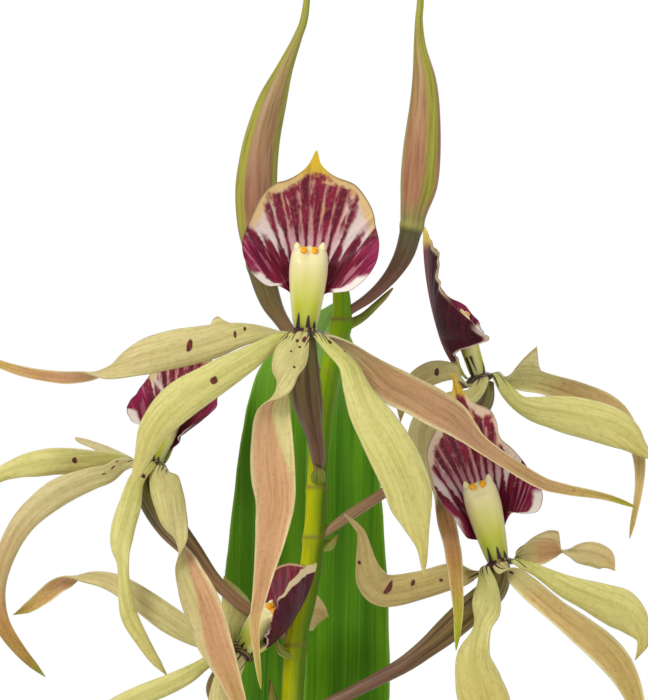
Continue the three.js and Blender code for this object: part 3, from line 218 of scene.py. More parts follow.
# Rims of the shell as [side, height, depth] from the bloom's centre
LIP_RIMS = {
    "open": [
        [1.3, 35.9, 2], [-0.2, 33.1, 2.2], [-2.1, 31.2, 2], [-4.4, 29.9, 1.6], [-7, 29, 1.2],
        [-9.3, 26.6, 0.8], [-11.2, 22.4, 1.4], [-12.8, 18, 1.2], [-12.6, 14.9, -2], [-11.2, 12, -4],
        [-9.5, 10.2, -4.8], [-7.6, 9, -4.4], [-5.4, 8.9, -1.6], [-3, 7.4, 3.3], [-2, 5.4, 3.6],
        [-1.5, 1.2, 2.95], [1.5, 1.2, 2.95], [2.2, 5.4, 3.6], [4, 7.6, 3.3], [6.4, 8, -1.6],
        [9.2, 8.8, -4.6], [12, 11.4, -4.8], [13.8, 14.5, -2.4], [14.2, 18, 0.8], [13.4, 21.3, 1.4],
        [12.9, 23.8, 0.8], [11.6, 26.4, 0.6], [9, 29.4, 1.2], [5, 30.9, 1.8], [2.3, 33.1, 2.2],
    ],
    "turned": [
        [1.7, 39.5, 2], [1.1, 36.8, 2.2], [-0.5, 34, 2.2], [-2.7, 31.6, 1.8], [-4.6, 29.3, 1.2],
        [-6.8, 26.8, 0.6], [-7.9, 24.2, 0.4], [-8.1, 20, -1], [-7.8, 16.8, -2.6], [-6.8, 13.4, -4],
        [-5.6, 10, -4], [-4.7, 7, -2], [-4.1, 6.4, 1.4], [-2.2, 5.2, 3.6], [-1.5, 1.2, 2.95],
        [1.5, 1.2, 2.95], [2.6, 6, 3.6], [5, 9, 2.4], [7.4, 8.2, -1.6], [10.2, 7.7, -3.6],
        [11.8, 9.2, -3.8], [12.4, 11.8, -3], [11.3, 15.6, -1.6], [10.4, 18.4, -0.4], [9, 21.4, 0.8],
        [7.3, 24.2, 1.4], [7.5, 27.6, 0.6], [6.8, 30.2, 0.4], [3.9, 32.6, 1.4], [2.7, 35.7, 2],
    ],
    "folded": [
        [1, 35.4, 1.9], [-0.4, 33.4, 1.7], [-2.4, 31.6, 1.4], [-4.8, 30.2, 1], [-6.8, 28.6, 0.6],
        [-8.4, 26.6, 1.6], [-9.6, 23.8, 2.6], [-10.8, 20.8, 2.4], [-11.6, 17.4, 1.3], [-11.4, 12.8, -1.4],
        [-10.2, 9.6, -3.5], [-8.6, 7.8, -4.3], [-6.4, 7.4, -1], [-3.6, 7.2, 2.9], [-2.1, 5.3, 3.6],
        [-1.5, 1.2, 2.95], [1.5, 1.2, 2.95], [2.2, 5.4, 3.6], [4, 7.6, 3.3], [6.4, 8, -1],
        [9.2, 8.8, -3.2], [11.4, 10.2, -3.6], [12.4, 13, -3.1], [12.6, 16.2, -1.3], [11.8, 20, 1.9],
        [10.6, 23.6, 2.8], [9, 27, 1.6], [7, 29.6, 0.8], [4.6, 31.6, 1.2], [2.6, 33.4, 1.6],
    ],
    "cupped": [
        [0.8, 32, 0.8], [-0.2, 30.6, 0.6], [-1.8, 29.4, 0], [-3.6, 28.4, -0.6], [-5.6, 27.2, -1.6],
        [-7.6, 25.4, -3], [-9.2, 22.6, -4.2], [-10, 18.8, -4.6], [-9.8, 15.4, -4.2], [-9, 12.6, -3.8],
        [-8, 10.6, -3], [-6.8, 9.2, -1.6], [-5.2, 8.2, 0.2], [-3.4, 7.2, 2.8], [-2.1, 5.3, 3.6],
        [-1.5, 1.2, 2.95], [1.5, 1.2, 2.95], [2.2, 5.4, 3.6], [3.8, 7.4, 2.7], [5.6, 8.6, 0.6],
        [7.2, 10.4, 0], [8.4, 12.6, -0.8], [9.4, 14.8, -1.9], [10.4, 18, -3.6], [10.2, 21.4, -4.2],
        [9.2, 24.4, -4.2], [7.4, 27, -3.8], [5, 28.8, -2.8], [3.2, 30.2, -1.8], [1.8, 31.4, -0.4],
    ],
}

# Column in rows of [height, half width, front, back]
COLUMN_ROWS = [
    [0.35, 2.1, 1.7, 1.7], [2.4, 2.6, 2.1, 2.1], [7, 3.3, 2.4, 2.4], [11.4, 3.8, 2.7, 2.6],
    [14.6, 3.7, 2.6, 2.5], [16.2, 3.2, 2.2, 2.1], [16.8, 2, 1.3, 1.3],
]

# Its teeth as (name, side, depth, foot, top, lean)
COLUMN_TEETH = [
    ("left", -2.3, -0.4, 15.0, 17.7, -0.1), ("middle", 0.0, 0.6, 14.8, 17.1, 0.0),
    ("right", 2.3, -0.4, 15.0, 17.8, 0.1),
]

# A column fuller towards its face, with a larger anther cap, and fuller on its left side than on its right
COLUMN_FACES = {"low": (1.35, 1.6, 0.42)}

# The ring of flesh under the column as [side, depth, height, half width, half depth]
RING_ROWS = [
    [0, 0, -1.0, 1.5, 1.5], [0, 0, -0.5, 2.7, 2.7], [0, 0, 0.1, 2.9, 2.9], [0, 0, 0.7, 2.4, 2.2],
    [0, 0, 1, 1.6, 1.6],
]

USUAL_BLOOM = {"size": 1, "wide": 1, "column_size": 1, "column_wide": 1, "column_turn": 0}

BLOOMS = {
    "top": {
        "centre": [1, -18, 386.6],
        "up": [0.03, -0.04, 1],
        "front": [0, -1, 0],
        "rim": "open",
        "ovary": [
            [3.7, -2.5, 360.2, 1.1], [3.7, -4.4, 361.2, 1.4], [3.3, -7.4, 364, 1.6],
            [2.6, -10.4, 367.4, 1.9], [1.8, -13.2, 371.4, 2.7], [1.1, -15.4, 375.6, 3],
            [0.9, -17, 380, 2.7], [1, -17.9, 384, 2.2], [1, -18, 386.1, 2.1],
        ],
        "sepal_left": {
            "angle": -112,
            "points": [
                [-10, -19.5, 386.8, 2.4, 30], [-19, -21, 384.4, 3.6, 6], [-28, -22, 382.4, 3.7, 0],
                [-34, -22, 380.6, 2.9, 24], [-38.6, -22, 379, 2.2, 75, -0.5], [-43, -22, 378, 1.7, 130],
                [-48, -21.5, 377.8, 1.3, 155], [-56, -20, 379.2, 1, 165], [-65, -18, 382.6, 0.45, 165],
            ],
        },
        "petal_left": {
            "angle": -56,
            "points": [
                [-4, -21, 385.4, 1.3, 10], [-10, -23, 381.4, 2.5, 0], [-17, -24.5, 377.2, 3.4, 0],
                [-24, -25.5, 372.6, 3.9, 0], [-28.6, -25, 367.4, 3.1, 0], [-31, -23.5, 361.6, 1.7, 0],
                [-33, -22, 356, 0.5, 0],
            ],
        },
        "sepal_middle": {
            "angle": -8,
            "points": [
                [-1.4, -24, 382.6, 3.4, 0], [-3.2, -25.4, 379, 3, 30], [-4.4, -26, 375.4, 2.9, 85, -0.7],
                [-5.6, -26, 371, 3.7, 150], [-5.6, -26, 365, 4.2, 172], [-5.2, -26, 359, 4.4, 180],
                [-4.8, -26, 353, 3.9, 180], [-6, -26, 344.6, 2.8, 180], [-7.6, -26, 336, 1.6, 180],
                [-8.8, -25.5, 328, 0.9, 180], [-7.6, -24.5, 316.2, 0.4, 180],
            ],
        },
        "petal_right": {
            "angle": 50,
            "points": [
                [6, -22, 384, 1.5, -30], [9.8, -24.5, 380.2, 2.2, -40], [11.6, -26.5, 375.4, 2.9, -20],
                [13.4, -28, 371, 3.8, 0], [15.8, -29, 367, 4.4, 0], [18.8, -29.5, 361.6, 4.8, 0],
                [21.2, -29, 356, 4.7, 0], [22, -28.5, 352.4, 4.2, 0], [23, -28, 348.6, 2.7, 0],
                [24.2, -27.5, 343.8, 1.1, 0], [24.4, -27, 338.4, 0.4, 0],
            ],
        },
        "sepal_right": {
            "angle": 106,
            "points": [
                [11, -20, 383, 2.1, -125], [17.6, -22, 376.8, 3.6, -160], [22.4, -23, 374.2, 3.7, -168],
                [26.6, -23.5, 371.8, 3.7, -170], [30, -23.5, 369.8, 3.4, -172], [33, -23, 367, 2.4, -175],
                [36.4, -22.5, 364, 1.6, -175], [46.6, -21, 357.4, 1.3, -178], [52, -20, 355.6, 1.1, -180],
                [60.4, -19, 354, 0.7, -180], [66.8, -18, 351.8, 0.4, -180],
            ],
        },
    },
    "right": {
        "centre": [39.6, -8, 340.4],
        "up": [-0.28, 0.06, 0.96],
        "front": [-0.05, -1, 0],
        "rim": "turned",
        "column_wide": 0.94,
        "ovary": [
            [1.3, 0, 308.4, 1.1], [4, -0.5, 311.2, 1.3], [10, -1.5, 314.4, 1.3], [15, -2, 317, 1.4],
            [20.8, -2.8, 320.2, 1.7], [25.4, -3.4, 323.6, 2], [29.4, -4, 327, 2.6],
            [34, -5.4, 331.2, 2.9], [38, -7, 334.8, 2.8], [39.7, -7.9, 338, 2.3], [39.7, -8, 339.9, 2.1],
        ],
        "sepal_left": {
            "angle": -108,
            "points": [
                [31, -6.5, 338.2, 2.6, 10], [25, -6, 336.4, 2.8, 0], [20, -6, 335.2, 3.1, 0],
                [16.4, -7, 335.2, 3.3, 0], [14.2, -8.4, 337.4, 3, 0], [13.2, -9.6, 340.6, 2.1, 0],
                [12.8, -10.4, 343.4, 1.5, 0], [12, -11, 347, 0.8, 0], [8.8, -12, 350.4, 0.4, 0],
            ],
        },
        "petal_left": {
            "angle": -52,
            "points": [
                [37.2, -15, 333.4, 2.9, 0], [35.6, -16.5, 328.2, 2.6, 50], [34.2, -17, 322.4, 3.4, 10],
                [35.4, -17, 317, 4.7, 0], [37, -17, 311, 5, 0], [37.6, -16.5, 304, 4, 0],
                [36, -15.5, 295, 0.5, 0],
            ],
        },
        "sepal_middle": {
            "angle": 6,
            "points": [
                [43, -13.4, 338.4, 2.4, -132], [45.8, -15.4, 336, 2.6, -145],
                [48.6, -16.8, 333.6, 2.5, -152], [52, -17.6, 330.8, 2.6, -155], [55.6, -18, 328, 3, -160],
                [59.2, -17.6, 325, 3.2, -165], [62.4, -16.6, 321.6, 3, -170],
                [65, -15.6, 317.4, 2.4, -175], [67, -14.4, 312, 1.6, -178], [68.6, -13.2, 307, 1, -180],
                [69.8, -12, 301, 0.4, -180],
            ],
        },
        "petal_right": {
            "angle": 64,
            "points": [
                [46.6, -11, 339.6, 1.2, -20], [52, -12.5, 336.6, 2.2, -10], [56, -13, 334.8, 2.8, 0],
                [59.8, -13, 333.2, 3.5, 0], [63.6, -13, 331.6, 4.1, 0], [66.4, -12.6, 329, 3.2, 0],
                [68.2, -12, 325.4, 1.4, 0], [66.6, -11, 321.4, 0.4, 0],
            ],
        },
        "sepal_right": {
            "angle": 118,
            "tooth": [0.48, 1, 3.2],
            "points": [
                [43.4, -6.2, 342.2, 2.2, -130], [46, -5.6, 342.8, 2.7, -150], [48.8, -5, 343, 2.6, -150],
                [51.2, -4.6, 343, 1.7, -130], [53.2, -4.4, 342.8, 1.1, -70], [55.6, -4.2, 342.6, 2, -20],
                [58.6, -4.2, 342.2, 2.5, 0], [61.2, -4.6, 341, 2.1, 0], [62.8, -5, 339, 0.6, 0],
            ],
        },
    },
    "rear": {
        "centre": [36.2, 14, 377.2],
        "up": [-0.29, -0.02, 0.955],
        "front": [0.96, 0, 0.29],
        "size": 0.92,
        "wide": 0.92,
        "rim": "folded",
        "column_size": 0.82,
        "ovary": [
            [5.8, 0.4, 347, 0.9], [10, 1.4, 350, 1.1], [16.2, 3.6, 354, 1.1], [24, 6.8, 359.6, 1.3],
            [30, 9.6, 365.6, 1.8], [34, 12, 369.8, 2.6], [36.4, 13.4, 373.2, 2.6], [37, 14, 376.7, 2.1],
        ],
        "sepal_right": {
            "angle": 22,
            "tooth": [0.355, 1, 4.6],
            "points": [
                [41.6, 14.2, 377, 1.7, -120], [44, 14.4, 377.4, 2.5, -145],
                [46.8, 14.6, 377.2, 2.7, -150], [50.4, 15, 376.2, 2.4, -155],
                [57.4, 16, 373.8, 2.8, -160], [63.2, 16, 370.6, 2.6, -170], [66.4, 15.5, 366.6, 2, -175],
                [68.2, 15, 362.6, 1.4, -178], [68.4, 14, 355.8, 0.9, -180], [66.4, 12, 345, 0.4, -180],
            ],
        },
        "petal_right": {
            "angle": -30,
            "points": [
                [43.4, 10.4, 372.8, 1.6, 0], [46.8, 9, 371.2, 2.5, 0], [51.6, 8, 370.4, 3.5, 0],
                [56.4, 7, 369.4, 4, 0], [61.8, 6.5, 367.8, 4, 0], [65.6, 6.5, 365.8, 3.2, 0],
                [69.2, 7, 362.6, 1.3, 0], [73.6, 8, 360.6, 0.4, 0],
            ],
        },
        "sepal_middle": {
            "angle": -90,
            "points": [
                [34.6, 7.4, 374, 1.6, 20], [30.6, 6.4, 372.6, 2.3, 10], [26.8, 5, 370.2, 2.8, 0],
                [24.4, 3, 366, 2.8, 0], [25, 0.5, 360.4, 2.6, 30], [26.6, -0.4, 355.4, 2.2, 85],
                [28.4, -1.8, 350.6, 2, 140], [29.4, -4, 347.2, 1.9, 160], [30.3, -9.4, 343, 1.7, 165],
                [30.8, -12.6, 338.6, 1.5, 170], [31.4, -13, 331, 1, 175], [31, -12, 323.4, 0.4, 180],
            ],
        },
        "sepal_left": {
            "angle": -140,
            "points": [
                [31.2, 10.6, 378.6, 1.7, 20], [27, 10.4, 378.6, 2.4, 10], [23.2, 12, 376.2, 2.2, 0],
                [20.8, 13, 372.8, 1.4, 0], [20.2, 13.4, 368.4, 0.4, 0],
            ],
        },
        "petal_left": {
            "angle": 106,
            "from_above": True,
            "points": [
                [36, 21, 376, 1.8, 0], [34.4, 26, 373, 2.8, 0], [33, 31, 367.6, 3.6, 0],
                [33, 34.6, 360, 3.8, 0], [34, 36.6, 352, 2.6, 0], [35, 37, 345, 0.5, 0],
            ],
        },
    },
    "left": {
        "centre": [-29.4, 2, 360],
        "up": [0.28, 0.12, 0.95],
        "front": [-0.46, -0.85, 0.24],
        "size": 0.78,
        "wide": 0.88,
        "rim": "open",
        "column_size": 0.78,
        "ovary": [
            [-3.2, 0, 326, 0.9], [-6.6, -0.4, 328.6, 1.2], [-10.6, -0.6, 331.2, 1.3],
            [-14, -0.6, 334, 1.3], [-17.6, -0.6, 337.6, 1.4], [-21.6, -0.8, 342.8, 1.9],
            [-26, -1.4, 348, 2.7], [-29.4, -1, 353.4, 2.8], [-30.2, 0.9, 357, 2.4],
            [-29.6, 1.9, 359.5, 2.1],
        ],
        "sepal_left": {
            "angle": -112,
            "from_above": True,
            "points": [
                [-35.4, 6.6, 361.6, 1.2, 0], [-38.2, 10.6, 362.8, 1.5, 0], [-41, 15.4, 363.8, 1.5, 0],
                [-43.6, 21, 364.6, 1.1, 0], [-45.8, 27, 365, 0.4, 0],
            ],
        },
        "petal_left": {
            "angle": -66,
            "points": [
                [-36.6, 1.6, 361.4, 1.4, 30], [-43.2, -2, 361, 2.4, 10], [-48.6, -4.4, 360.8, 2.7, 0],
                [-53.2, -4.6, 360.2, 2.5, 0], [-56.6, -4.4, 359.4, 2, 0], [-60.4, -4, 357.8, 1.4, 0],
                [-65.4, -2.6, 354, 0.8, 0], [-69, -1, 349, 0.4, 0],
            ],
        },
        "sepal_middle": {
            "angle": -24,
            "points": [
                [-35.4, -2.6, 360.4, 1.5, 10], [-38.2, -5.6, 358.4, 1.9, 0], [-42, -6.8, 357.2, 2.3, 0],
                [-48.4, -7.6, 354.4, 2.8, 0], [-54.4, -8, 349.4, 2.4, 0], [-58.4, -7.6, 342.8, 2, 0],
                [-60.4, -7, 335.4, 1.8, 0], [-59.4, -6, 328.6, 1.6, 0], [-55.6, -5, 322.8, 1.2, 0],
                [-50.8, -4, 317.8, 0.4, 0],
            ],
        },
        "petal_right": {
            "angle": 17,
            "points": [
                [-32.6, -5.4, 357.2, 1.6, 0], [-33.8, -9, 352.2, 2.3, 0], [-35.1, -10, 347.8, 2.4, 0],
                [-35.8, -11, 344, 2.1, 20], [-35.4, -11.4, 340.6, 1.5, 40],
                [-35.1, -11.4, 337.4, 1.2, 20], [-34.4, -11, 332.6, 1.6, 0],
                [-33.6, -10.4, 329.4, 1.7, 0], [-31.4, -10, 325.4, 1.4, 0], [-29, -9, 321.6, 1, 0],
                [-26.4, -8, 318.2, 0.4, 0],
            ],
        },
        "sepal_right": {
            "angle": 62,
            "points": [
                [-27.4, -3.8, 358, 2.9, 0], [-26.4, -6.4, 354.2, 3.2, 0], [-25.4, -9, 349.8, 2.9, 20],
                [-24.2, -11.4, 344.6, 2.5, 80, -0.6], [-22.6, -13.2, 339.4, 2.9, 150],
                [-20.2, -14.4, 334, 3.7, 170], [-18.2, -15, 329, 3.8, 178], [-16.8, -15.4, 325, 3.5, 180],
                [-14.4, -15, 319.4, 2.5, 180], [-12, -14, 313, 1.5, 180], [-9, -12, 305, 0.4, 180],
            ],
        },
    },
    "low": {
        "centre": [-11.6, -6.5, 323],
        "up": [0.61, -0.2, 0.77],
        "front": [-0.76, -0.3, 0.57],
        "size": 0.74,
        "wide": 0.97,
        "rim": "cupped",
        "column_size": 0.68,
        "column_wide": 1.12,
        "column_turn": 38,
        "ovary": [
            [-4.5, 1.3, 307.4, 0.9], [-9, 2.6, 307.8, 1.2], [-14, 1.4, 310.6, 1.8],
            [-16.2, -1.6, 315.2, 2.4], [-14.4, -5, 319.6, 2.2], [-12, -6.4, 322.5, 2],
        ],
        "sepal_left": {
            "angle": -112,
            "from_above": True,
            "points": [
                [-9.6, 0.6, 325.6, 1.4, 0], [-6.6, 4.4, 327.2, 1.9, 20], [-3, 7, 328.6, 2.6, 40],
                [0.2, 8.6, 329.6, 3.3, 65], [2.4, 9, 330.2, 3.7, 80], [4.4, 8.8, 330, 2.4, 90],
                [5.6, 8, 329.4, 0.6, 90],
            ],
        },
        "petal_left": {
            "angle": -68,
            "from_above": True,
            "points": [
                [-13.8, -0.6, 327.6, 1.7, 0], [-12.8, 3.6, 330.4, 2.8, 0], [-13, 7.8, 333.6, 2.7, 0],
                [-15.4, 12, 337.2, 0.5, 0],
            ],
        },
        "sepal_middle": {
            "angle": -18,
            "points": [
                [-20, -6.4, 325.8, 2.1, 0], [-26, -6, 329.2, 2.7, 0], [-31, -5, 332.8, 2.5, 0],
                [-36.4, -4, 336.6, 2.2, 30], [-42, -3, 338, 2, 60], [-47.6, -2.6, 336.8, 1.9, 140],
                [-51, -1, 334, 1.6, 170], [-54.2, 0, 331.6, 1.1, 180], [-57.4, 1, 330, 0.4, 180],
            ],
        },
        "petal_right": {
            "angle": 28,
            "points": [
                [-18.4, -9.6, 321, 1.2, 0], [-22, -10.5, 318.6, 1.7, 0], [-26.4, -10.5, 316.4, 2, 0],
                [-32, -11, 314.2, 2, 0], [-37, -10, 312, 1.7, 0], [-44, -8, 308, 0.4, 0],
            ],
        },
        "sepal_right": {
            "angle": 80,
            "points": [
                [-14, -12, 318.6, 2.6, 0], [-14.6, -12, 313.6, 3.6, 0], [-14.6, -11.4, 308, 3.8, 0],
                [-13.8, -9.6, 302, 2.4, 0], [-12.8, -8, 296.6, 0.5, 0],
            ],
        },
    },
}

# Teeth finer than the solids', as [share along the rows, side, height, reach before, reach after, power]
FINE_TEETH = {
    ("top", "sepal_left"): {"tooth": [0.258, 1, 2.2, 0.02, 0.012, 1.2]},
    ("right", "sepal_right"): {"tooth": [0.48, 1, 4.0, 0.22, 0.05, 1.2]},
    ("rear", "sepal_right"): {"tooth": [0.35, 1, 5.4, 0.15, 0.05, 2.2]},
}

# Colours as they look on a screen, from 0 to 255
SPOT = (72, 24, 20)
SPOT_RIM = (104, 42, 30)

PATCH_WOBBLE = 1.4
LEAF_PALE_TIP = 0.13

# Colours along a part, as (share of its length, colour)
COLUMN_COLOURS = [
    (0.0, (112, 108, 44)), (0.1, (156, 162, 30)), (0.3, (180, 182, 50)), (0.5, (206, 200, 112)),
    (0.7, (220, 211, 150)), (0.88, (226, 216, 166)), (1.0, (234, 222, 162)),
]

OVARY_COLOURS = [
    (0.0, (138, 104, 76)), (0.35, (118, 84, 66)), (0.6, (116, 90, 54)), (1.0, (128, 118, 56)),
]

OVARY_PALE_COLOURS = [
    (0.0, (168, 134, 100)), (0.4, (158, 120, 84)), (0.66, (142, 112, 68)), (0.8, (112, 100, 44)),
    (1.0, (134, 126, 60)),
]

BUD_COLOURS = {
    "bud_left": [
        (0.0, (144, 118, 78)), (0.12, (132, 102, 70)), (0.22, (112, 98, 56)), (0.29, (108, 98, 52)),
        (0.31, (150, 140, 80)), (0.36, (160, 112, 84)), (0.5, (162, 118, 88)), (0.7, (156, 128, 82)),
        (0.86, (152, 150, 62)), (1.0, (160, 176, 54)),
    ],
    "bud_right": [
        (0.0, (142, 106, 84)), (0.1, (138, 92, 78)), (0.2, (112, 84, 62)), (0.285, (90, 86, 50)),
        (0.3, (156, 152, 80)), (0.325, (148, 136, 80)), (0.37, (170, 122, 90)), (0.5, (168, 120, 86)),
        (0.7, (162, 132, 84)), (0.86, (156, 152, 60)), (1.0, (160, 178, 52)),
    ],
}

# Upright marks round the column's foot as (side, height, width)
COLUMN_MARKS = [(-2.9, 1.9, 0.6), (-1.4, 3.9, 0.95), (0.55, 3.5, 1.15), (1.8, 2.3, 0.8), (2.8, 1.4, 0.6)]

# How each bloom's shell is striped: angles in degrees from the lip's foot
LIP_LOOK = {
    "lobe_height": 10.4,
    "stripe_width": 1.0,
    "flood": 0.0,
    "top": 31.4,
    "tan": 1.0,
    "pale_rays": 0.5,
    "edge": 0.0,
}

LIP_LOOKS = {
    "top": {"stripes": (-38, -32, -26.5, -20.5, -15, -8.2, -2.8, 3.2, 8.6, 13.4, 20.4, 28, 35)},
    "right": {
        "stripes": (-34, -27, -20, -15, -10.5, -6, -1.8, 2.6, 7.2, 12, 17.5, 24, 31),
        "stripe_width": 0.8,
        "top": 35.0,
        "tan": 0.35,
    },
    "rear": {"stripes": (-30, -23, -17, -11, -5, 1, 7, 13, 19, 26, 32), "lobe_height": 13.5},
    "left": {
        "stripes": (-31, -24, -18, -12, -6, 0, 6, 12, 18, 25, 31),
        "lobe_height": 12.5,
        "pale_rays": 0.3,
    },
    "low": {
        "stripes": (-30, -23, -16, -10, -4, 2, 8, 14, 21, 28),
        "flood": 0.95,
        "pale_rays": 0.15,
        "edge": 0.03,
    },
}

# What all tepals share, then what sepals and petals show
TEPAL_LOOK = {"foot": 0.92, "wedges": [], "spots": []}

TEPAL_KINDS = {
    "sepal": {
        "front": [
            (0.0, (196, 190, 122)), (0.3, (204, 194, 132)), (0.7, (206, 190, 134)),
            (1.0, (202, 176, 116)),
        ],
        "back": [
            (0.0, (196, 170, 112)), (0.3, (204, 160, 118)), (0.75, (202, 156, 112)),
            (0.9, (196, 162, 96)), (1.0, (172, 170, 60)),
        ],
        "margin_colour": (220, 210, 160),
        "margin": {"front": 0.4, "back": 0.8},
        "margin_from": {"front": 0.85, "back": 0.72},
        "streak": (206, 190, 150),
        "freckles": 0.5,
    },
    "petal": {
        "front": [
            (0.0, (186, 186, 98)), (0.3, (206, 200, 126)), (0.7, (206, 198, 124)), (1.0, (202, 188, 112)),
        ],
        "back": [(0.0, (194, 190, 112)), (0.5, (208, 200, 132)), (1.0, (204, 192, 124))],
        "margin_colour": (222, 222, 166),
        "margin": {"front": 0.4, "back": 0.5},
        "margin_from": {"front": 0.85, "back": 0.75},
        "streak": (204, 204, 140),
        "freckles": 0.1,
    },
}

# What single tepals show besides: spots as (mm along, mm across, length, width, slant, on the front face),
# and wedges of the front's colour on the reverse as (side, start, end, width)
LOOKS = {
    ("top", "sepal_left"): {
        "spots": [
            (23.4, 0.05, 1.3, 2.5, 0.35, True), (14.1, -0.3, 0.7, 1.5, 0.2, True),
            (11.9, 0.45, 0.6, 1.0, 0.2, True),
        ],
    },
    ("top", "petal_left"): {"spots": [(20.7, -0.24, 1.7, 1.5, 0.0, True)]},
    ("top", "sepal_middle"): {
        "spots": [
            (5.0, 0.15, 0.8, 0.7, 0.0, True), (6.0, -0.8, 0.6, 0.6, 0.0, True),
            (4.2, -1.0, 1.4, 0.8, 0.0, True), (7.6, 0.3, 0.5, 0.5, 0.0, True),
            (10.4, -1.8, 0.6, 0.6, 0.0, True),
        ],
        "wedges": [(1, 0.2, 0.5, 1.3)],
    },
    ("top", "petal_right"): {
        "spots": [(5.6, -0.3, 1.2, 0.7, 0.0, True), (9.1, -1.2, 0.6, 0.5, 0.0, True)],
    },
    ("top", "sepal_right"): {
        "back": [
            (0.0, (196, 180, 124)), (0.12, (192, 164, 118)), (0.25, (184, 146, 102)),
            (0.5, (184, 144, 106)), (0.8, (188, 156, 100)), (0.93, (176, 162, 66)), (1.0, (150, 160, 36)),
        ],
        "streak": (190, 168, 140),
    },
    ("right", "sepal_left"): {
        "spots": [
            (22.0, 0.68, 1.6, 2.8, 0.5, True), (16.8, 0.8, 1.0, 1.3, 0.4, True),
            (11.2, -0.2, 0.8, 0.7, 0.0, True), (30.8, -1.3, 0.8, 0.7, 0.0, True),
        ],
        "front": [(0.0, (188, 172, 104)), (0.5, (188, 168, 106)), (1.0, (190, 170, 110))],
    },
    ("right", "sepal_middle"): {
        "spots": [(6.0, 0.3, 1.1, 1.0, 0.0, True), (6.0, 0.3, 1.1, 1.0, 0.0, False)],
        "back": [
            (0.0, (200, 192, 128)), (0.15, (200, 188, 126)), (0.24, (200, 172, 112)),
            (0.55, (194, 168, 104)), (1.0, (190, 168, 96)),
        ],
    },
    ("right", "sepal_right"): {
        "back": [
            (0.0, (204, 196, 134)), (0.22, (202, 190, 130)), (0.34, (206, 166, 116)),
            (0.6, (206, 160, 112)), (1.0, (196, 176, 116)),
        ],
    },
    ("right", "petal_left"): {
        "front": [
            (0.0, (194, 190, 118)), (0.3, (204, 196, 126)), (0.6, (198, 184, 106)), (1.0, (194, 178, 96)),
        ],
    },
    ("rear", "sepal_right"): {
        "back": [
            (0.0, (204, 200, 134)), (0.2, (204, 196, 132)), (0.32, (198, 170, 116)),
            (0.7, (192, 164, 112)), (1.0, (188, 168, 92)),
        ],
    },
    ("rear", "sepal_middle"): {
        "back": [
            (0.0, (200, 190, 120)), (0.4, (206, 166, 108)), (0.75, (204, 152, 92)), (0.9, (180, 170, 50)),
            (1.0, (160, 180, 20)),
        ],
    },
    ("rear", "sepal_left"): {
        "spots": [(10.6, -0.2, 1.0, 1.6, 0.2, True), (10.6, -0.2, 1.0, 1.6, 0.2, False)],
    },
    ("left", "petal_left"): {"spots": [(16.0, 0.0, 1.2, 1.3, 0.0, True)]},
    ("left", "petal_right"): {"spots": [(7.0, -0.9, 1.2, 1.0, 0.0, True)]},
    ("left", "sepal_middle"): {
        "spots": [
            (7.6, 0.9, 1.0, 0.3, 0.0, True), (9.6, 0.5, 1.4, 0.3, 0.0, True),
            (12.2, 0.2, 0.9, 0.3, 0.0, True),
        ],
        "front": [
            (0.0, (196, 190, 124)), (0.3, (200, 188, 134)), (0.6, (196, 174, 124)), (0.8, (186, 142, 84)),
            (0.93, (160, 130, 50)), (1.0, (140, 140, 40)),
        ],
    },
    ("left", "sepal_right"): {"wedges": [(-1, 0.34, 0.8, 1.5)]},
    ("low", "petal_left"): {"spots": [(16.0, 0.4, 0.9, 0.6, 0.0, True)]},
}

# Lights as (name, place in metres, size, watts, colour)
LIGHT_TARGET = (0, 0, 0.36)
LIGHTS = [
    ("key", (-0.55, -0.75, 0.95), 0.5, 7.8, (1, 0.985, 0.96)),
    ("fill", (0.8, -0.8, 0.5), 0.8, 2.6, (0.97, 0.98, 1)),
    ("back", (0.3, 0.9, 0.9), 0.8, 4.0, (1, 1, 1)),
]
FLOOR_RADIUS = 900


def unit(v):
    v = np.asarray(v, float)
    return v / np.linalg.norm(v, axis=-1, keepdims=True)


def blend(rows, t):
    """Uniform Catmull-Rom through rows of numbers, at each t from 0 to 1 along the rows."""
    rows = np.asarray(rows, float)
    last = len(rows) - 1
    place = np.clip(t, 0, 1) * last
    i = np.minimum(place.astype(int), last - 1)
    f = (place - i)[:, None]
    a, b, c, d = rows[np.maximum(i - 1, 0)], rows[i], rows[i + 1], rows[np.minimum(i + 2, last)]
    return 0.5 * (2 * b + (c - a) * f + (2 * a - 5 * b + 4 * c - d) * f**2 + (3 * b - a - 3 * c + d) * f**3)


def smoothstep(x, low, high):
    x = np.clip((x - low) / (high - low), 0, 1)
    return x * x * (3 - 2 * x)


def wave(x, seed, period):
    """Smooth noise from -1 to 1 along the numbers in x."""
    return np.array([noise.noise(Vector((float(v) / period, seed * 7.31, seed * 3.17))) for v in np.ravel(x)])


def round_turns(sides):
    """Angles in radians of points spread evenly round a circle."""
    return np.arange(sides) * 2 * math.pi / sides


def ring_values(turn, stations):
    """Which way each point of a round body faces, as numbers for its paint."""
    return {
        "ring_x": np.repeat(np.cos(turn)[None, :], stations, axis=0),
        "ring_y": np.repeat(np.sin(turn)[None, :], stations, axis=0),
    }


def add_numbers(mesh, key, numbers):
    """One number for each point of a mesh, for its paint to read."""
    attribute = mesh.attributes.new(key, "FLOAT", "POINT")
    attribute.data.foreach_set("value", np.ravel(numbers).astype(np.float32))


def mesh_object(name, points, faces, values, sharp_angle=55):
    """One object at the origin from points in mm, with a number for each point under each name in values."""
    mesh = bpy.data.meshes.new(name)
    mesh.from_pydata((np.asarray(points) * MM).tolist(), [], faces)
    for key, numbers in values.items():
        add_numbers(mesh, key, numbers)
    mesh.shade_smooth()
    mesh.set_sharp_from_angle(angle=math.radians(sharp_angle))
    piece = bpy.data.objects.new(name, mesh)
    bpy.context.scene.collection.objects.link(piece)
    return piece


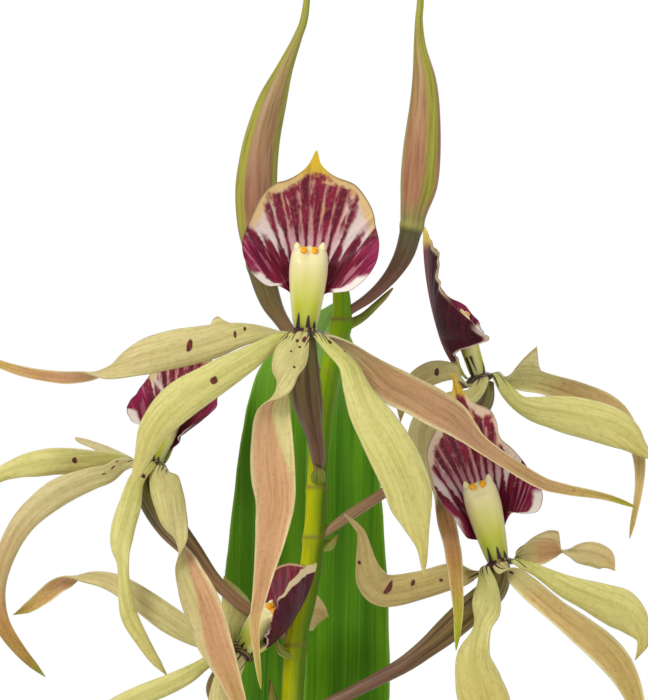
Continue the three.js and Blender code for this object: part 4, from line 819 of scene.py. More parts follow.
def settle(piece, paint, slot, *nodes):
    """Gives a finished piece its material and its body, and hides the CAD nodes that it stands for."""
    piece.data.materials.append(paint)
    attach(piece, "root")
    if nodes:
        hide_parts(*nodes)
    return piece


def shell_object(name, front, back, values):
    """Closed thin piece from two grids of points, rows by columns, whose values are alike on both faces."""
    rows, columns = front.shape[:2]
    points = np.concatenate([front.reshape(-1, 3), back.reshape(-1, 3)])
    half = rows * columns
    faces = []
    for i in range(rows - 1):
        here, there = i * columns, (i + 1) * columns
        for k in range(columns - 1):
            faces.append((here + k, here + k + 1, there + k + 1, there + k))
            faces.append((half + here + k, half + there + k, half + there + k + 1, half + here + k + 1))
        faces.append((here, there, half + there, half + here))
        right, right_there = here + columns - 1, there + columns - 1
        faces.append((right, half + right, half + right_there, right_there))
    last = (rows - 1) * columns
    for k in range(columns - 1):
        faces.append((k, half + k, half + k + 1, k + 1))
        faces.append((last + k, last + k + 1, half + last + k + 1, half + last + k))
    doubled = {key: np.concatenate([np.ravel(v), np.ravel(v)]) for key, v in values.items()}
    doubled["front"] = np.concatenate([np.ones(half), np.zeros(half)])
    return mesh_object(name, points, faces, doubled)


def ring_object(name, rings, values):
    """Closed body through rings of points, rows by sides, with a fan at both ends."""
    rows, sides = rings.shape[:2]
    points = np.concatenate([rings.reshape(-1, 3), rings[:1].mean(axis=1), rings[-1:].mean(axis=1)])
    faces = []
    for i in range(rows - 1):
        for k in range(sides):
            a, b = i * sides + k, i * sides + (k + 1) % sides
            faces.append((a, b, b + sides, a + sides))
    start, end, last = rows * sides, rows * sides + 1, (rows - 1) * sides
    for k in range(sides):
        after = (k + 1) % sides
        faces.append((start, after, k))
        faces.append((end, last + k, last + after))
    full = {key: np.append(np.ravel(v), [v[0].mean(), v[-1].mean()]) for key, v in values.items()}
    return mesh_object(name, points, faces, full)


def lengths_along(centres):
    steps = np.linalg.norm(np.diff(centres, axis=0), axis=1)
    return np.concatenate([[0], np.cumsum(steps)])


def blade_rows(points, seen_from, usual_curl):
    """Rows of [x, y, z, half width, curl, width axis x, y, z], turned as in the solids."""
    rows = []
    seen_from = np.asarray(seen_from, float)
    for i, point in enumerate(points):
        before = np.array(points[max(i - 1, 0)][:3], float)
        after = np.array(points[min(i + 1, len(points) - 1)][:3], float)
        heading = unit(after - before)
        facing = unit(seen_from - heading * seen_from.dot(heading))
        across = np.cross(heading, facing)
        roll = math.radians(point[4])
        width = across * math.cos(roll) - facing * math.sin(roll)
        curl = point[5] if len(point) > 5 else usual_curl
        rows.append([*point[:4], curl, *width])
    return rows


def blade_edge(t, along, half, share, shape):
    """How far each margin stands out, as a share of the half width: uneven, with one tooth at most."""
    one, other = wave(along, shape["seed"], 5.0), wave(along, shape["seed"] + 5, 5.0)
    edge = 1 + shape["edge"] * np.outer(one, share > 0) + shape["edge"] * np.outer(other, share <= 0)
    if shape.get("tooth"):
        place, side, height, before, after, power = shape["tooth"]
        point = np.clip(1 - np.abs(t - place) / np.where(t < place, before, after), 0, 1) ** power
        edge = edge + np.outer(point * height / half, share * side > 0) * np.abs(share) ** 6
    return edge


def blade_lift(along, half, share, curl, shape):
    """Arch, middle furrow, rolled margins and ripples of a blade, in mm towards its front."""
    narrow = np.minimum(1, half / 2)
    lift = (curl * half)[:, None] * share[None, :] ** 2
    furrow = np.exp(-(share / 0.12) ** 2)
    lift = lift - shape["furrow"] * furrow[None, :] * narrow[:, None]
    rolled = np.clip((np.abs(share) - 0.72) / 0.28, 0, 1) ** 2
    lift = lift + (shape["margin_roll"] * half)[:, None] * rolled[None, :]
    for sign in (-1, 1):
        ripple = wave(along, shape["seed"] + 11 + sign, shape["ripple_length"]) * narrow
        lift = lift + shape["ripple"] * np.outer(ripple, (share * sign > 0) * share**2)
    return lift


def blade_object(name, rows, shape):
    """Thin arched blade along rows from blade_rows, with the fine form that shape gives."""
    stations, columns = shape["stations"], shape["columns"]
    t = np.linspace(0, 1, stations)
    sample = blend(rows, t)
    centres = sample[:, :3]
    along = lengths_along(centres)
    total = along[-1]
    heading = unit(np.gradient(centres, axis=0))
    width = sample[:, 5:8]
    width = unit(width - heading * np.sum(width * heading, axis=1, keepdims=True))
    normal = np.cross(width, heading)
    half = np.maximum(sample[:, 3], 0.3) * np.sqrt(np.clip((total - along) / shape["tip"], 0.03, 1))
    bend = math.pi / 2 * 0.93
    share = np.sin(np.linspace(-1, 1, columns) * bend) / math.sin(bend)
    side = half[:, None] * share[None, :] * blade_edge(t, along, half, share, shape)
    lift = blade_lift(along, half, share, sample[:, 4], shape)
    thickness = shape["thickness"] * (1 - 0.7 * share**4)
    middle = centres[:, None, :] + width[:, None, :] * side[..., None] + normal[:, None, :] * lift[..., None]
    offset = normal[:, None, :] * (thickness / 2)[None, :, None]
    values = {
        "along": np.repeat(along[:, None], columns, axis=1),
        "share": np.repeat((along / total)[:, None], columns, axis=1),
        "across": np.repeat(share[None, :], stations, axis=0),
        "across_mm": side,
    }
    return shell_object(name, middle + offset, middle - offset, values)


def tube_object(name, rows, stations, sides, relief):
    """Round body along rows of [x, y, z, radius]. relief(share, along, angle) adds mm to the radius."""
    sample = blend(rows, np.linspace(0, 1, stations))
    centres = sample[:, :3]
    along = lengths_along(centres)
    heading = unit(np.gradient(centres, axis=0))
    first = np.array([0.0, 1.0, 0.0]) if abs(heading[0][0]) > 0.8 else np.array([1.0, 0.0, 0.0])
    turn = round_turns(sides)
    rings = np.empty((stations, sides, 3))
    for i in range(stations):
        first = unit(first - heading[i] * first.dot(heading[i]))
        second = np.cross(heading[i], first)
        radius = sample[i, 3] + relief(along[i] / along[-1], along[i], turn)
        circle = np.outer(radius * np.cos(turn), first) + np.outer(radius * np.sin(turn), second)
        rings[i] = centres[i] + circle
    values = {
        "along": np.repeat(along[:, None], sides, axis=1),
        "share": np.repeat((along / along[-1])[:, None], sides, axis=1),
        **ring_values(turn, stations),
    }
    return ring_object(name, rings, values)


def linear(colour):
    """A screen colour from 0 to 255 as the linear numbers that a shader takes."""
    parts = [c / 255 for c in colour]
    return tuple([p / 12.92 if p <= 0.04045 else ((p + 0.055) / 1.055) ** 2.4 for p in parts] + [1.0])


class Wire:
    """A number that a node gives. Arithmetic on it adds nodes, and a | b is the larger of a and b."""

    def __init__(self, paint, socket):
        self.paint = paint
        self.socket = socket

    def __add__(self, other):
        return self.paint.maths("ADD", self, other)

    def __radd__(self, other):
        return self.paint.maths("ADD", other, self)

    def __sub__(self, other):
        return self.paint.maths("SUBTRACT", self, other)

    def __rsub__(self, other):
        return self.paint.maths("SUBTRACT", other, self)

    def __mul__(self, other):
        return self.paint.maths("MULTIPLY", self, other)

    def __truediv__(self, other):
        return self.paint.maths("DIVIDE", self, other)

    def __or__(self, other):
        return self.paint.maths("MAXIMUM", self, other)

    def __abs__(self):
        return self.paint.maths("ABSOLUTE", self)

    def sine(self):
        return self.paint.maths("SINE", self)

    def cosine(self):
        return self.paint.maths("COSINE", self)

    def root(self):
        return self.paint.maths("SQRT", self)

    def smooth(self, low, high):
        """0 below low and 1 above high, or the other way round where low is the larger."""
        node = self.paint.node("MapRange", interpolation_type="SMOOTHSTEP")
        self.paint.put(node.inputs["Value"], self)
        node.inputs["From Min"].default_value = min(low, high)
        node.inputs["From Max"].default_value = max(low, high)
        node.inputs["To Min"].default_value = float(low > high)
        node.inputs["To Max"].default_value = float(low <= high)
        return Wire(self.paint, node.outputs[0])


class Paint:
    """One procedural material. Each method adds a node and gives back its output."""

    def __init__(self, name, roughness=0.5, subsurface=0.0, depth=1.0, coat=0.0, sheen=0.0, specular=0.35):
        self.material = bpy.data.materials.new(name)
        self.material.use_nodes = True
        self.tree = self.material.node_tree
        self.tree.nodes.clear()
        self.shader = self.node("BsdfPrincipled")
        self.put(self.node("OutputMaterial").inputs[0], self.shader.outputs[0])
        settings = {
            "Roughness": roughness, "IOR": 1.42, "Specular IOR Level": specular,
            "Subsurface Weight": subsurface, "Subsurface Radius": (1.0, 0.7, 0.35),
            "Subsurface Scale": depth * MM, "Coat Weight": coat, "Coat Roughness": 0.25,
            "Sheen Weight": sheen,
        }
        for key, setting in settings.items():
            self.shader.inputs[key].default_value = setting

    def node(self, kind, **settings):
        node = self.tree.nodes.new("ShaderNode" + kind)
        for key, setting in settings.items():
            setattr(node, key, setting)
        return node

    def put(self, socket, value):
        """Joins a node's output to a socket, or sets the socket to a number or a screen colour."""
        if isinstance(value, Wire):
            value = value.socket
        if isinstance(value, bpy.types.NodeSocket):
            self.tree.links.new(value, socket)
        else:
            socket.default_value = linear(value) if isinstance(value, tuple) else value

    def value(self, name):
        """A number that the mesh carries under this name."""
        return Wire(self, self.node("Attribute", attribute_name=name).outputs["Fac"])

    def values(self, *names):
        return [self.value(name) for name in names]

    def maths(self, operation, *numbers):
        node = self.node("Math", operation=operation)
        for socket, number in zip(node.inputs, numbers):
            self.put(socket, number)
        return Wire(self, node.outputs[0])

    def mix(self, factor, first, second, mode="MIX"):
        node = self.node("Mix", data_type="RGBA", blend_type=mode)
        for index, value in zip((0, 6, 7), (factor, first, second)):
            self.put(node.inputs[index], value)
        return node.outputs[2]

    def steps(self, factor, stops):
        """Colours along a number, as stops of (place, colour)."""
        node = self.node("ValToRGB")
        self.put(node.inputs[0], factor)
        ramp = node.color_ramp
        while len(ramp.elements) < len(stops):
            ramp.elements.new(0.5)
        for element, (place, colour) in zip(ramp.elements, stops):
            element.position = place
            element.color = linear(colour)
        return node.outputs[0]

    def vector(self, x, y, z=0.0):
        node = self.node("CombineXYZ")
        for socket, number in zip(node.inputs, (x, y, z)):
            self.put(socket, number)
        return node.outputs[0]

    def place_mm(self):
        """Object coordinates in millimetres."""
        node = self.node("VectorMath", operation="SCALE")
        self.put(node.inputs[0], self.node("TexCoord").outputs["Object"])
        node.inputs["Scale"].default_value = 1 / MM
        return node.outputs[0]

    def cloud(self, vector, scale, detail=3.0, distortion=0.0):
        node = self.node("TexNoise")
        self.put(node.inputs["Vector"], vector)
        for key, number in (("Scale", scale), ("Detail", detail), ("Distortion", distortion)):
            node.inputs[key].default_value = number
        return Wire(self, node.outputs["Fac"])

    def cells(self, vector, scale):
        node = self.node("TexVoronoi")
        self.put(node.inputs["Vector"], vector)
        node.inputs["Scale"].default_value = scale
        return Wire(self, node.outputs["Distance"])

    def patch(self, x, y, centre, size):
        """1 inside an uneven oval of that size round a centre, and 0 outside it."""
        across = (x - centre[0]) / (size[0] / 2)
        down = (y - centre[1]) / (size[1] / 2)
        ragged = (self.cloud(self.vector(x, y), 1.1) - 0.5) * PATCH_WOBBLE
        return (across * across + down * down + ragged).smooth(1.25, 0.65)

    def relief(self, height, strength, distance):
        node = self.node("Bump")
        node.inputs["Strength"].default_value = strength
        node.inputs["Distance"].default_value = distance * MM
        self.put(node.inputs["Height"], height)
        self.put(self.shader.inputs["Normal"], node.outputs[0])

    def finish(self, colour):
        self.put(self.shader.inputs["Base Color"], colour)
        return self.material


def tepal_ground(paint, look, at):
    """Each face's own colour with pale margins, and the front's colour rolled over parts of the reverse."""
    shifted = at.share + (paint.cloud(at.place, 0.16, 2.0) - 0.5) * 0.25
    faces = []
    for side in ("back", "front"):
        colour = paint.steps(shifted, look[side])
        pale = at.edge.smooth(look["margin_from"][side], 0.97) * look["margin"][side]
        faces.append(paint.mix(pale, colour, look["margin_colour"]))
    for side, start, end, width in look["wedges"]:
        reach = (end - at.share) / (end - start) * width
        inset = 1.0 - at.across * float(side)
        band = (inset - reach).smooth(0.12, -0.12) * at.share.smooth(end, end - 0.08)
        faces[0] = paint.mix(band, faces[0], faces[1])
    return paint.mix(at.front.smooth(0.3, 0.7), faces[0], faces[1])


def tepal_spots(paint, look, at, colour):
    """Dark uneven spots at the places that the look gives."""
    for along_at, across_at, length, width, slant, on_front in look["spots"]:
        moved = (at.across_mm - across_at) * slant
        spot = paint.patch(at.along + moved, at.across_mm, (along_at, across_at), (length, width))
        facing = (at.front if on_front else at.reverse).smooth(0.3, 0.7)
        rim = paint.cloud(at.place, 1.5, 1.0).smooth(0.3, 0.7)
        colour = paint.mix(spot * facing, colour, paint.mix(rim, SPOT, SPOT_RIM))
    return colour


def tepal_paint(name, look):
    """Veined tepal with its own colour along each face, pale margins, freckles, base streaks and spots."""
    paint = Paint(name, roughness=0.5, subsurface=0.2, depth=1.0, sheen=0.05)
    at = SimpleNamespace(place=paint.place_mm())
    at.share, at.along, at.across, at.across_mm, at.front = paint.values(
        "share", "along", "across", "across_mm", "front")
    at.reverse = 1.0 - at.front
    at.edge = abs(at.across)
    colour = tepal_ground(paint, look, at)

    # Faint darker streaks and fine veins along the tepal, and a darker middle
    streaks = paint.cloud(paint.vector(at.across_mm * 1.5, at.along * 0.06, 2.0), 1.0, 4.0)
    fine = paint.cloud(paint.vector(at.across_mm * 5.0, at.along * 0.25, 5.0), 1.0, 3.0)
    veins = abs((at.across * 15.0).sine()).smooth(0.3, 0.0) * at.share.smooth(1.0, 0.3)
    middle = at.edge.smooth(0.5, 0.0)
    darker = (streaks.smooth(0.42, 0.7) * 0.42, fine.smooth(0.45, 0.7) * 0.3, veins * 0.22, middle * 0.22)
    for amount in darker:
        colour = paint.mix(amount, colour, look["streak"], "MULTIPLY")
    mottle = paint.cloud(at.place, 1.1, 4.0).smooth(0.5, 0.66) * 0.12
    colour = paint.mix(mottle, colour, (150, 110, 84), "MULTIPLY")

    dots = paint.cells(at.place, 0.9).smooth(0.2, 0.11)
    chosen = paint.cloud(at.place, 0.55, 1.0).smooth(0.55, 0.65)
    freckles = dots * chosen * (at.reverse * look["freckles"] + 0.1)
    colour = paint.mix(freckles, colour, (140, 84, 62))
    colour = paint.mix(at.edge.smooth(0.95, 0.99) * 0.45, colour, (132, 112, 66))

    # Dark purple streaks where the tepal leaves the ring
    ragged = paint.cloud(paint.vector(at.across_mm * 1.9, 0.0, look["seed"]), 1.0, 1.0)
    length = 2.7 + ragged.smooth(0.5, 0.62) * 3.0
    foot = (at.along - length).smooth(0.3, -0.5)
    colour = paint.mix(foot * look["foot"], colour, (58, 30, 32))
    colour = tepal_spots(paint, look, at, colour)
    paint.relief(fine * 0.5 + veins * -0.5 + paint.cloud(at.place, 2.4, 3.0) * 0.4, 0.3, 0.25)
    return paint.finish(colour)


def lip_places(paint, look):
    """Where a point of the shell lies: its height, and its angle and distance from the lip's foot."""
    at = SimpleNamespace()
    at.side, at.height, at.share, at.front = paint.values("side", "height", "share", "front")
    at.place = paint.vector(at.side, at.height, look["seed"])
    at.broad = paint.cloud(at.place, 0.3, 2.0) - 0.5
    at.fine = paint.cloud(at.place, 0.9, 3.0) - 0.5
    out, rise = at.side - 0.5, at.height - 1.0
    at.turn = paint.maths("ARCTAN2", out, rise) * (180 / math.pi)
    at.aside = abs(at.turn + at.broad * 6.0)
    at.reach = (out * out + rise * rise).root()
    at.rays = paint.cloud(paint.vector(at.turn * 0.42, at.reach * 0.2, look["seed"]), 1.0, 3.0, 0.4)
    at.level = at.height + at.broad * 4.0
    at.above = at.height + at.fine * 2.6 - (abs(at.side) * 0.6 + look["lobe_height"])
    at.lobes = at.above.smooth(0.9, -0.5)
    return at


def lip_ground(paint, look, at):
    """Unmarked ground: pinkish white below, tan along the upper rim and yellow at the apex."""
    ground = paint.mix(at.level.smooth(17.0, 25.0), (222, 206, 202), (214, 190, 176))
    rim_tan = at.height.smooth(17.0, 23.0) * (at.share + at.fine * 0.08).smooth(0.84, 0.93)
    ground = paint.mix(rim_tan * look["tan"], ground, (210, 180, 126))
    apex = at.level.smooth(look["top"] - 2.6, look["top"] + 0.6)
    ground = paint.mix(apex, ground, (204, 172, 48))
    return paint.mix(at.fine.smooth(0.05, 0.2) * 0.3, ground, (176, 128, 128))


def lip_stripes(paint, look, at):
    """Stripes that fan out of the lip's foot, broader towards the lobes and under the upper rim."""
    degrees = at.turn + at.fine * 1.6
    nearest = None
    for angle in look["stripes"]:
        apart = abs(degrees - angle)
        nearest = apart if nearest is None else paint.maths("MINIMUM", nearest, apart)
    widest = look["stripe_width"] + at.height.smooth(17.0, 23.0) * 0.9 + at.above.smooth(4.0, 0.0) * 2.4
    return (nearest - widest).smooth(0.9, -0.7)


def lip_marks(paint, look, at, stripes, ground):
    """Where the shell is dark, and its ground with the rose and tan mottling under the upper rim."""
    ends = (at.share + at.broad * 0.25 + at.fine * 0.12).smooth(0.95, 0.88)
    ends = ends * (at.height + at.fine * 3.0).smooth(look["top"] + 0.6, look["top"] - 1.0)
    marks = stripes * (at.aside.smooth(24.0, 20.5) * ends) | stripes * at.above.smooth(4.2, 2.2)
    zone = at.level.smooth(17.0, 22.0) * at.aside.smooth(22.5, 19.0) * ends
    grain = at.rays + at.fine * 0.16
    glow = at.aside.smooth(20.0, 14.0) * at.level.smooth(13.0, 19.0) * ends * 0.62
    rose = paint.mix(at.level.smooth(18.0, 23.0), (190, 108, 126), (180, 86, 72))
    ground = paint.mix(glow, ground, rose)
    ground = paint.mix(zone * grain.smooth(0.4, 0.32) * 0.8, ground, (212, 148, 96))
    marks = marks | zone * grain.smooth(0.44, 0.58)
    thin = paint.cloud(at.place, 1.0, 2.0).smooth(0.5, 0.72) * at.height.smooth(16.0, 22.0)
    marks = marks * (1.0 - thin * 0.18) | at.lobes
    near_rim = at.share + at.level.smooth(20.0, 31.0) * 0.01
    return marks | near_rim.smooth(0.985, 0.965) * look["flood"], ground


def lip_dark(paint, look, at):
    """The dark colour itself: maroon, magenta towards the lobes' edge, with pale and darker streaks."""
    deep = paint.mix(at.rays.smooth(0.35, 0.7), (88, 14, 36), (134, 28, 56))
    outer = at.lobes * at.share.smooth(0.66, 0.97)
    deep = paint.mix(outer * (0.8 - 0.5 * look["flood"]), deep, (150, 34, 84))
    thin_rays = paint.cloud(paint.vector(at.turn * 0.5, at.reach * 0.11, look["seed"] + 3), 1.0, 3.0, 0.3)
    pale_rays = thin_rays.smooth(0.55, 0.62) * at.share.smooth(0.3, 0.7) * (at.lobes | look["flood"])
    deep = paint.mix(pale_rays * look["pale_rays"], deep, (208, 142, 160))
    return paint.mix(thin_rays.smooth(0.46, 0.38) * at.lobes * 0.8, deep, (78, 12, 34))


def lip_outside(paint, look, at):
    """Outside of the shell: dark maroon, with a pale lower edge and a cream upper edge."""
    edge = look["edge"]
    outside = paint.mix(at.rays.smooth(0.3, 0.75), (58, 10, 26), (94, 22, 46))
    # Painted highlight: a pinkish line down the middle of the shell's back, fainter where the shell is
    # flooded dark.
    painted_back_highlight = abs(at.side).smooth(2.6, 0.4) * (0.45 * (1 - look["flood"]))
    outside = paint.mix(painted_back_highlight, outside, (168, 112, 116))
    low_edge = at.share.smooth(0.93 + edge, 0.975 + edge / 2) * at.height.smooth(12.5, 9.5)
    outside = paint.mix(low_edge, outside, (222, 196, 186))
    widened = at.share + at.height.smooth(19.0, 29.0) * (edge * 3)
    high_edge = widened.smooth(0.945 + edge, 0.98 + edge / 2) * at.height.smooth(17.0, 22.0)
    outside = paint.mix(high_edge, outside, (224, 202, 160))
    return paint.mix(at.height.smooth(30.0, 33.0), outside, (212, 186, 92))


def lip_paint(name, look):
    """Cockleshell: dark stripes up a pale shell, maroon lobes with white ends, tan rim and yellow apex."""
    paint = Paint(name, roughness=0.46, subsurface=0.12, depth=0.8, coat=0.03, specular=0.25)
    at = lip_places(paint, look)
    stripes = lip_stripes(paint, look, at)
    marks, ground = lip_marks(paint, look, at, stripes, lip_ground(paint, look, at))
    colour = paint.mix(marks, ground, lip_dark(paint, look, at))
    white = abs(at.side).smooth(4.4, 5.8) * at.level.smooth(12.4, 11.2)
    white = white * (at.share + at.fine * 0.1).smooth(0.8, 0.87)
    colour = paint.mix(white, colour, (240, 230, 222))
    # Painted shadow: a thin dark line along the inside of the rim, below the apex.
    painted_rim_shadow = at.share.smooth(0.975, 0.995) * at.height.smooth(33.0, 30.0)
    colour = paint.mix(painted_rim_shadow * 0.7, colour, (96, 62, 56))
    colour = paint.mix(at.front.smooth(0.3, 0.7), lip_outside(paint, look, at), colour)
    # The claw that joins the shell to the column is green like the column's foot.
    colour = paint.mix(at.height.smooth(5.6, 4.4), colour, (196, 196, 108))
    paint.relief(at.rays * 0.8 + stripes * 0.3 + paint.cloud(at.place, 2.2, 3.0), 0.3, 0.3)
    return paint.finish(colour)


def column_paint(name, behind_reach):
    """Cream column, yellow-green towards its foot, with dark upright marks round the base."""
    paint = Paint(name, roughness=0.38, subsurface=0.25, depth=1.5, coat=0.06)
    height, side, ring_x, ring_y = paint.values("height", "side", "ring_x", "ring_y")
    colour = paint.steps(height / 18.0, COLUMN_COLOURS)
    colour = paint.mix(abs(ring_x).smooth(0.62, 0.95) * 0.35, colour, (240, 232, 196))
    middle = abs(ring_x).smooth(0.5, 0.1) * height.smooth(14.0, 9.0)
    colour = paint.mix(middle * 0.3, colour, (196, 200, 112))
    facing = ring_y.smooth(0.25, -0.1)
    marks = None
    for centre, tall, width in COLUMN_MARKS:
        left = (tall - height) / tall
        apart = abs(side - centre) - (left | 0.0).root() * (width / 2)
        mark = apart.smooth(0.1, -0.1) * left.smooth(0.0, 0.06)
        marks = mark if marks is None else marks | mark
    uneven = paint.cloud(paint.vector(side, ring_y * 2.0, 4.0), 0.9, 1.0)
    behind = uneven.smooth(0.49, 0.53) * height.smooth(behind_reach, behind_reach - 0.8)
    marks = marks * facing | behind * (1.0 - facing)
    colour = paint.mix(marks | height.smooth(0.9, 0.4), colour, (60, 34, 42))
    paint.relief(paint.cloud(paint.place_mm(), 1.6, 2.0), 0.15, 0.3)
    return paint.finish(colour)


def anther_paint():
    paint = Paint("anther_cap", roughness=0.35, subsurface=0.2, depth=0.8, coat=0.2)
    speckle = paint.cloud(paint.place_mm(), 1.8, 2.0)
    colour = paint.mix(speckle.smooth(0.4, 0.7), (240, 176, 20), (226, 136, 16))
    paint.relief(speckle, 0.2, 0.2)
    return paint.finish(colour)


def ring_paint():
    """The receptacle between the tepals' feet: dark purple streaks on dull yellow."""
    paint = Paint("ring_flesh", roughness=0.45, subsurface=0.1, depth=0.6)
    side, height = paint.value("side"), paint.value("height")
    streaks = paint.cloud(paint.vector(side, height * 0.2, 7.0), 1.2, 2.0)
    colour = paint.mix(streaks.smooth(0.58, 0.66), (60, 32, 36), (150, 140, 74))
    paint.relief(streaks, 0.3, 0.3)
    return paint.finish(colour)


def lengthwise_lines(paint, ring_x, ring_y, along, across_scale, along_scale):
    """Fine lines along a round stem or bud."""
    place = paint.vector(ring_x * across_scale, ring_y * across_scale, along * along_scale)
    return paint.cloud(place, 1.0, 3.0)


def ovary_paint(name, stops):
    """Ridged ovary on its pedicel, darker in the furrows, with fine lengthwise lines."""
    paint = Paint(name, roughness=0.42, subsurface=0.08, depth=0.6, coat=0.1)
    share, along, ring_x, ring_y = paint.values("share", "along", "ring_x", "ring_y")
    colour = paint.steps(share, stops)
    ridge = (paint.maths("ARCTAN2", ring_y, ring_x) * 6.0).sine()
    furrow = ridge.smooth(-0.2, -0.95) * share.smooth(0.3, 0.7)
    colour = paint.mix(furrow * 0.7, colour, (150, 120, 96), "MULTIPLY")
    lines = lengthwise_lines(paint, ring_x, ring_y, along, 6.0, 0.12)
    colour = paint.mix(lines.smooth(0.46, 0.68) * 0.5, colour, (140, 104, 90), "MULTIPLY")
    paint.relief(lines, 0.3, 0.3)
    return paint.finish(colour)


def bud_paint(name, stops):
    """Closed sepals, brown-pink along their middle and green-yellow where they meet."""
    paint = Paint(name, roughness=0.45, subsurface=0.12, depth=0.8, coat=0.06)
    share, along, ring_x, ring_y = paint.values("share", "along", "ring_x", "ring_y")
    place = paint.place_mm()
    meeting = ((paint.maths("ARCTAN2", ring_y, ring_x) + 1.57) * 3.0).cosine()
    ragged = meeting + paint.cloud(place, 0.4, 2.0) * 0.5
    greenish = ragged.smooth(0.2, -0.6) * share.smooth(0.31, 0.4)
    colour = paint.mix(greenish, paint.steps(share, stops), (158, 156, 54))
    lines = lengthwise_lines(paint, ring_x, ring_y, along, 5.0, 0.1)
    colour = paint.mix(lines.smooth(0.4, 0.7) * 0.5, colour, (176, 150, 120), "MULTIPLY")
    colour = paint.mix(paint.cells(place, 1.1).smooth(0.22, 0.1) * 0.35, colour, (112, 66, 48))
    paint.relief(lines, 0.3, 0.3)
    return paint.finish(colour)


def stalk_paint():
    """Yellow-green stalk with fine lengthwise lines and brownish rings at its joints."""
    paint = Paint("stalk_skin", roughness=0.42, subsurface=0.1, depth=1.0, coat=0.04, specular=0.15)
    ring_x, ring_y, along, level, joint = paint.values("ring_x", "ring_y", "along", "level", "joint")
    place = paint.place_mm()
    # Painted light and shade: bright yellow-green on the stalk's left side and darker green on its right
    # side, a little greener higher up.
    lit = ring_x + paint.cloud(place, 0.12, 2.0) * 0.5
    low_colour = paint.mix(lit.smooth(-0.5, 1.1), (186, 190, 0), (84, 118, 8))
    high_colour = paint.mix(lit.smooth(-0.5, 0.9), (148, 178, 10), (106, 148, 20))
    colour = paint.mix(level.smooth(350.0, 378.0), low_colour, high_colour)
    lines = lengthwise_lines(paint, ring_x, ring_y, along, 7.0, 0.06)
    colour = paint.mix(lines.smooth(0.42, 0.7) * 0.4, colour, (170, 180, 90), "MULTIPLY")
    patches = paint.cloud(place, 0.2, 3.0).smooth(0.56, 0.72) * 0.25
    colour = paint.mix(patches, colour, (150, 120, 60))
    colour = paint.mix(joint * 0.7, colour, (120, 104, 50))
    paint.relief(lines, 0.25, 0.3)
    return paint.finish(colour)


def bract_paint():
    paint = Paint("bract_skin", roughness=0.5, subsurface=0.15, depth=0.6)
    share, across, along = paint.value("share"), paint.value("across"), paint.value("along")
    colour = paint.steps(share, [(0.0, (128, 146, 46)), (0.55, (146, 154, 62)), (1.0, (150, 118, 66))])
    lines = paint.cloud(paint.vector(across * 7.0, along * 0.15), 1.0)
    colour = paint.mix(lines.smooth(0.45, 0.7), colour, (140, 140, 70), "MULTIPLY")
    paint.relief(lines, 0.3, 0.25)
    return paint.finish(colour)


def leaf_paint(name):
    """Glossy strap leaf: lengthwise streaks, a pale midrib line and a paler tip."""
    paint = Paint(name, roughness=0.4, subsurface=0.06, depth=1.0, coat=0.06, specular=0.18)
    share, across, along, across_mm, front = paint.values("share", "across", "along", "across_mm", "front")
    broad = paint.cloud(paint.vector(across_mm * 0.22, along * 0.012, 1.0), 1.0, 3.0)
    fine = paint.cloud(paint.vector(across_mm * 1.6, along * 0.03), 1.0)
    ribs = abs((across_mm * 1.15).sine()).smooth(0.16, 0.0) * 0.22
    colour = paint.mix(broad.smooth(0.32, 0.7), (64, 117, 2), (98, 152, 10))
    colour = paint.mix(fine.smooth(0.42, 0.7) * 0.5, colour, (170, 200, 120), "MULTIPLY")
    colour = paint.mix(ribs, colour, (150, 190, 70))
    colour = paint.mix(abs(across_mm).smooth(0.75, 0.2) * 0.55, colour, (138, 180, 70))
    colour = paint.mix(abs(across).smooth(0.95, 1.0), colour, (126, 168, 60))
    colour = paint.mix(share.smooth(1.0 - LEAF_PALE_TIP, 1.0) * 0.75, colour, (148, 190, 96))
    colour = paint.mix(front.smooth(0.7, 0.3) * 0.5, colour, (120, 160, 66))
    paint.relief(ribs * 1.6 + fine * 0.5 + paint.cloud(paint.place_mm(), 0.9, 2.0) * 0.2, 0.3, 0.4)
    return paint.finish(colour)


def bulb_paint():
    """Green pseudobulb with lengthwise wrinkles, yellower where the ridges catch the light."""
    paint = Paint("pseudobulb_skin", roughness=0.4, subsurface=0.1, depth=1.5, coat=0.12)
    share, ridge = paint.value("share"), paint.value("ridge")
    place = paint.place_mm()
    patches = paint.cloud(place, 0.06, 3.0)
    colour = paint.mix(patches.smooth(0.35, 0.7), (96, 132, 46), (132, 158, 62))
    colour = paint.mix(ridge.smooth(0.1, 1.0) * 0.55, colour, (150, 172, 80))
    colour = paint.mix(share.smooth(0.16, 0.0), colour, (124, 104, 60))
    specks = paint.cloud(place, 0.9, 4.0).smooth(0.6, 0.72) * 0.5
    colour = paint.mix(specks, colour, (96, 84, 44))
    paint.relief(paint.cloud(place, 0.7, 4.0), 0.3, 0.5)
    return paint.finish(colour)


def sheath_paint():
    """Dry papery sheath with fibres along it."""
    paint = Paint("dry_sheath", roughness=0.75)
    along, across_mm = paint.value("along"), paint.value("across_mm")
    fibres = paint.cloud(paint.vector(across_mm * 1.6, along * 0.08), 1.0)
    colour = paint.mix(fibres.smooth(0.35, 0.68), (150, 122, 84), (206, 186, 146))
    stains = paint.cloud(paint.place_mm(), 0.12, 3.0).smooth(0.55, 0.7) * 0.6
    colour = paint.mix(stains, colour, (104, 76, 48))
    paint.relief(fibres, 0.6, 0.4)
    return paint.finish(colour)


def root_paint():
    """Silvery roots with greener stretches."""
    paint = Paint("root_skin", roughness=0.8)
    place = paint.place_mm()
    silver = paint.mix(paint.cloud(place, 0.7, 4.0).smooth(0.35, 0.7), (170, 168, 142), (206, 204, 184))
    colour = paint.mix(paint.cloud(place, 0.05, 2.0).smooth(0.48, 0.62), silver, (128, 140, 84))
    colour = paint.mix(paint.cloud(place, 0.3, 3.0).smooth(0.58, 0.7) * 0.6, colour, (120, 98, 66))
    paint.relief(paint.cloud(place, 1.4, 4.0), 0.5, 0.3)
    return paint.finish(colour)


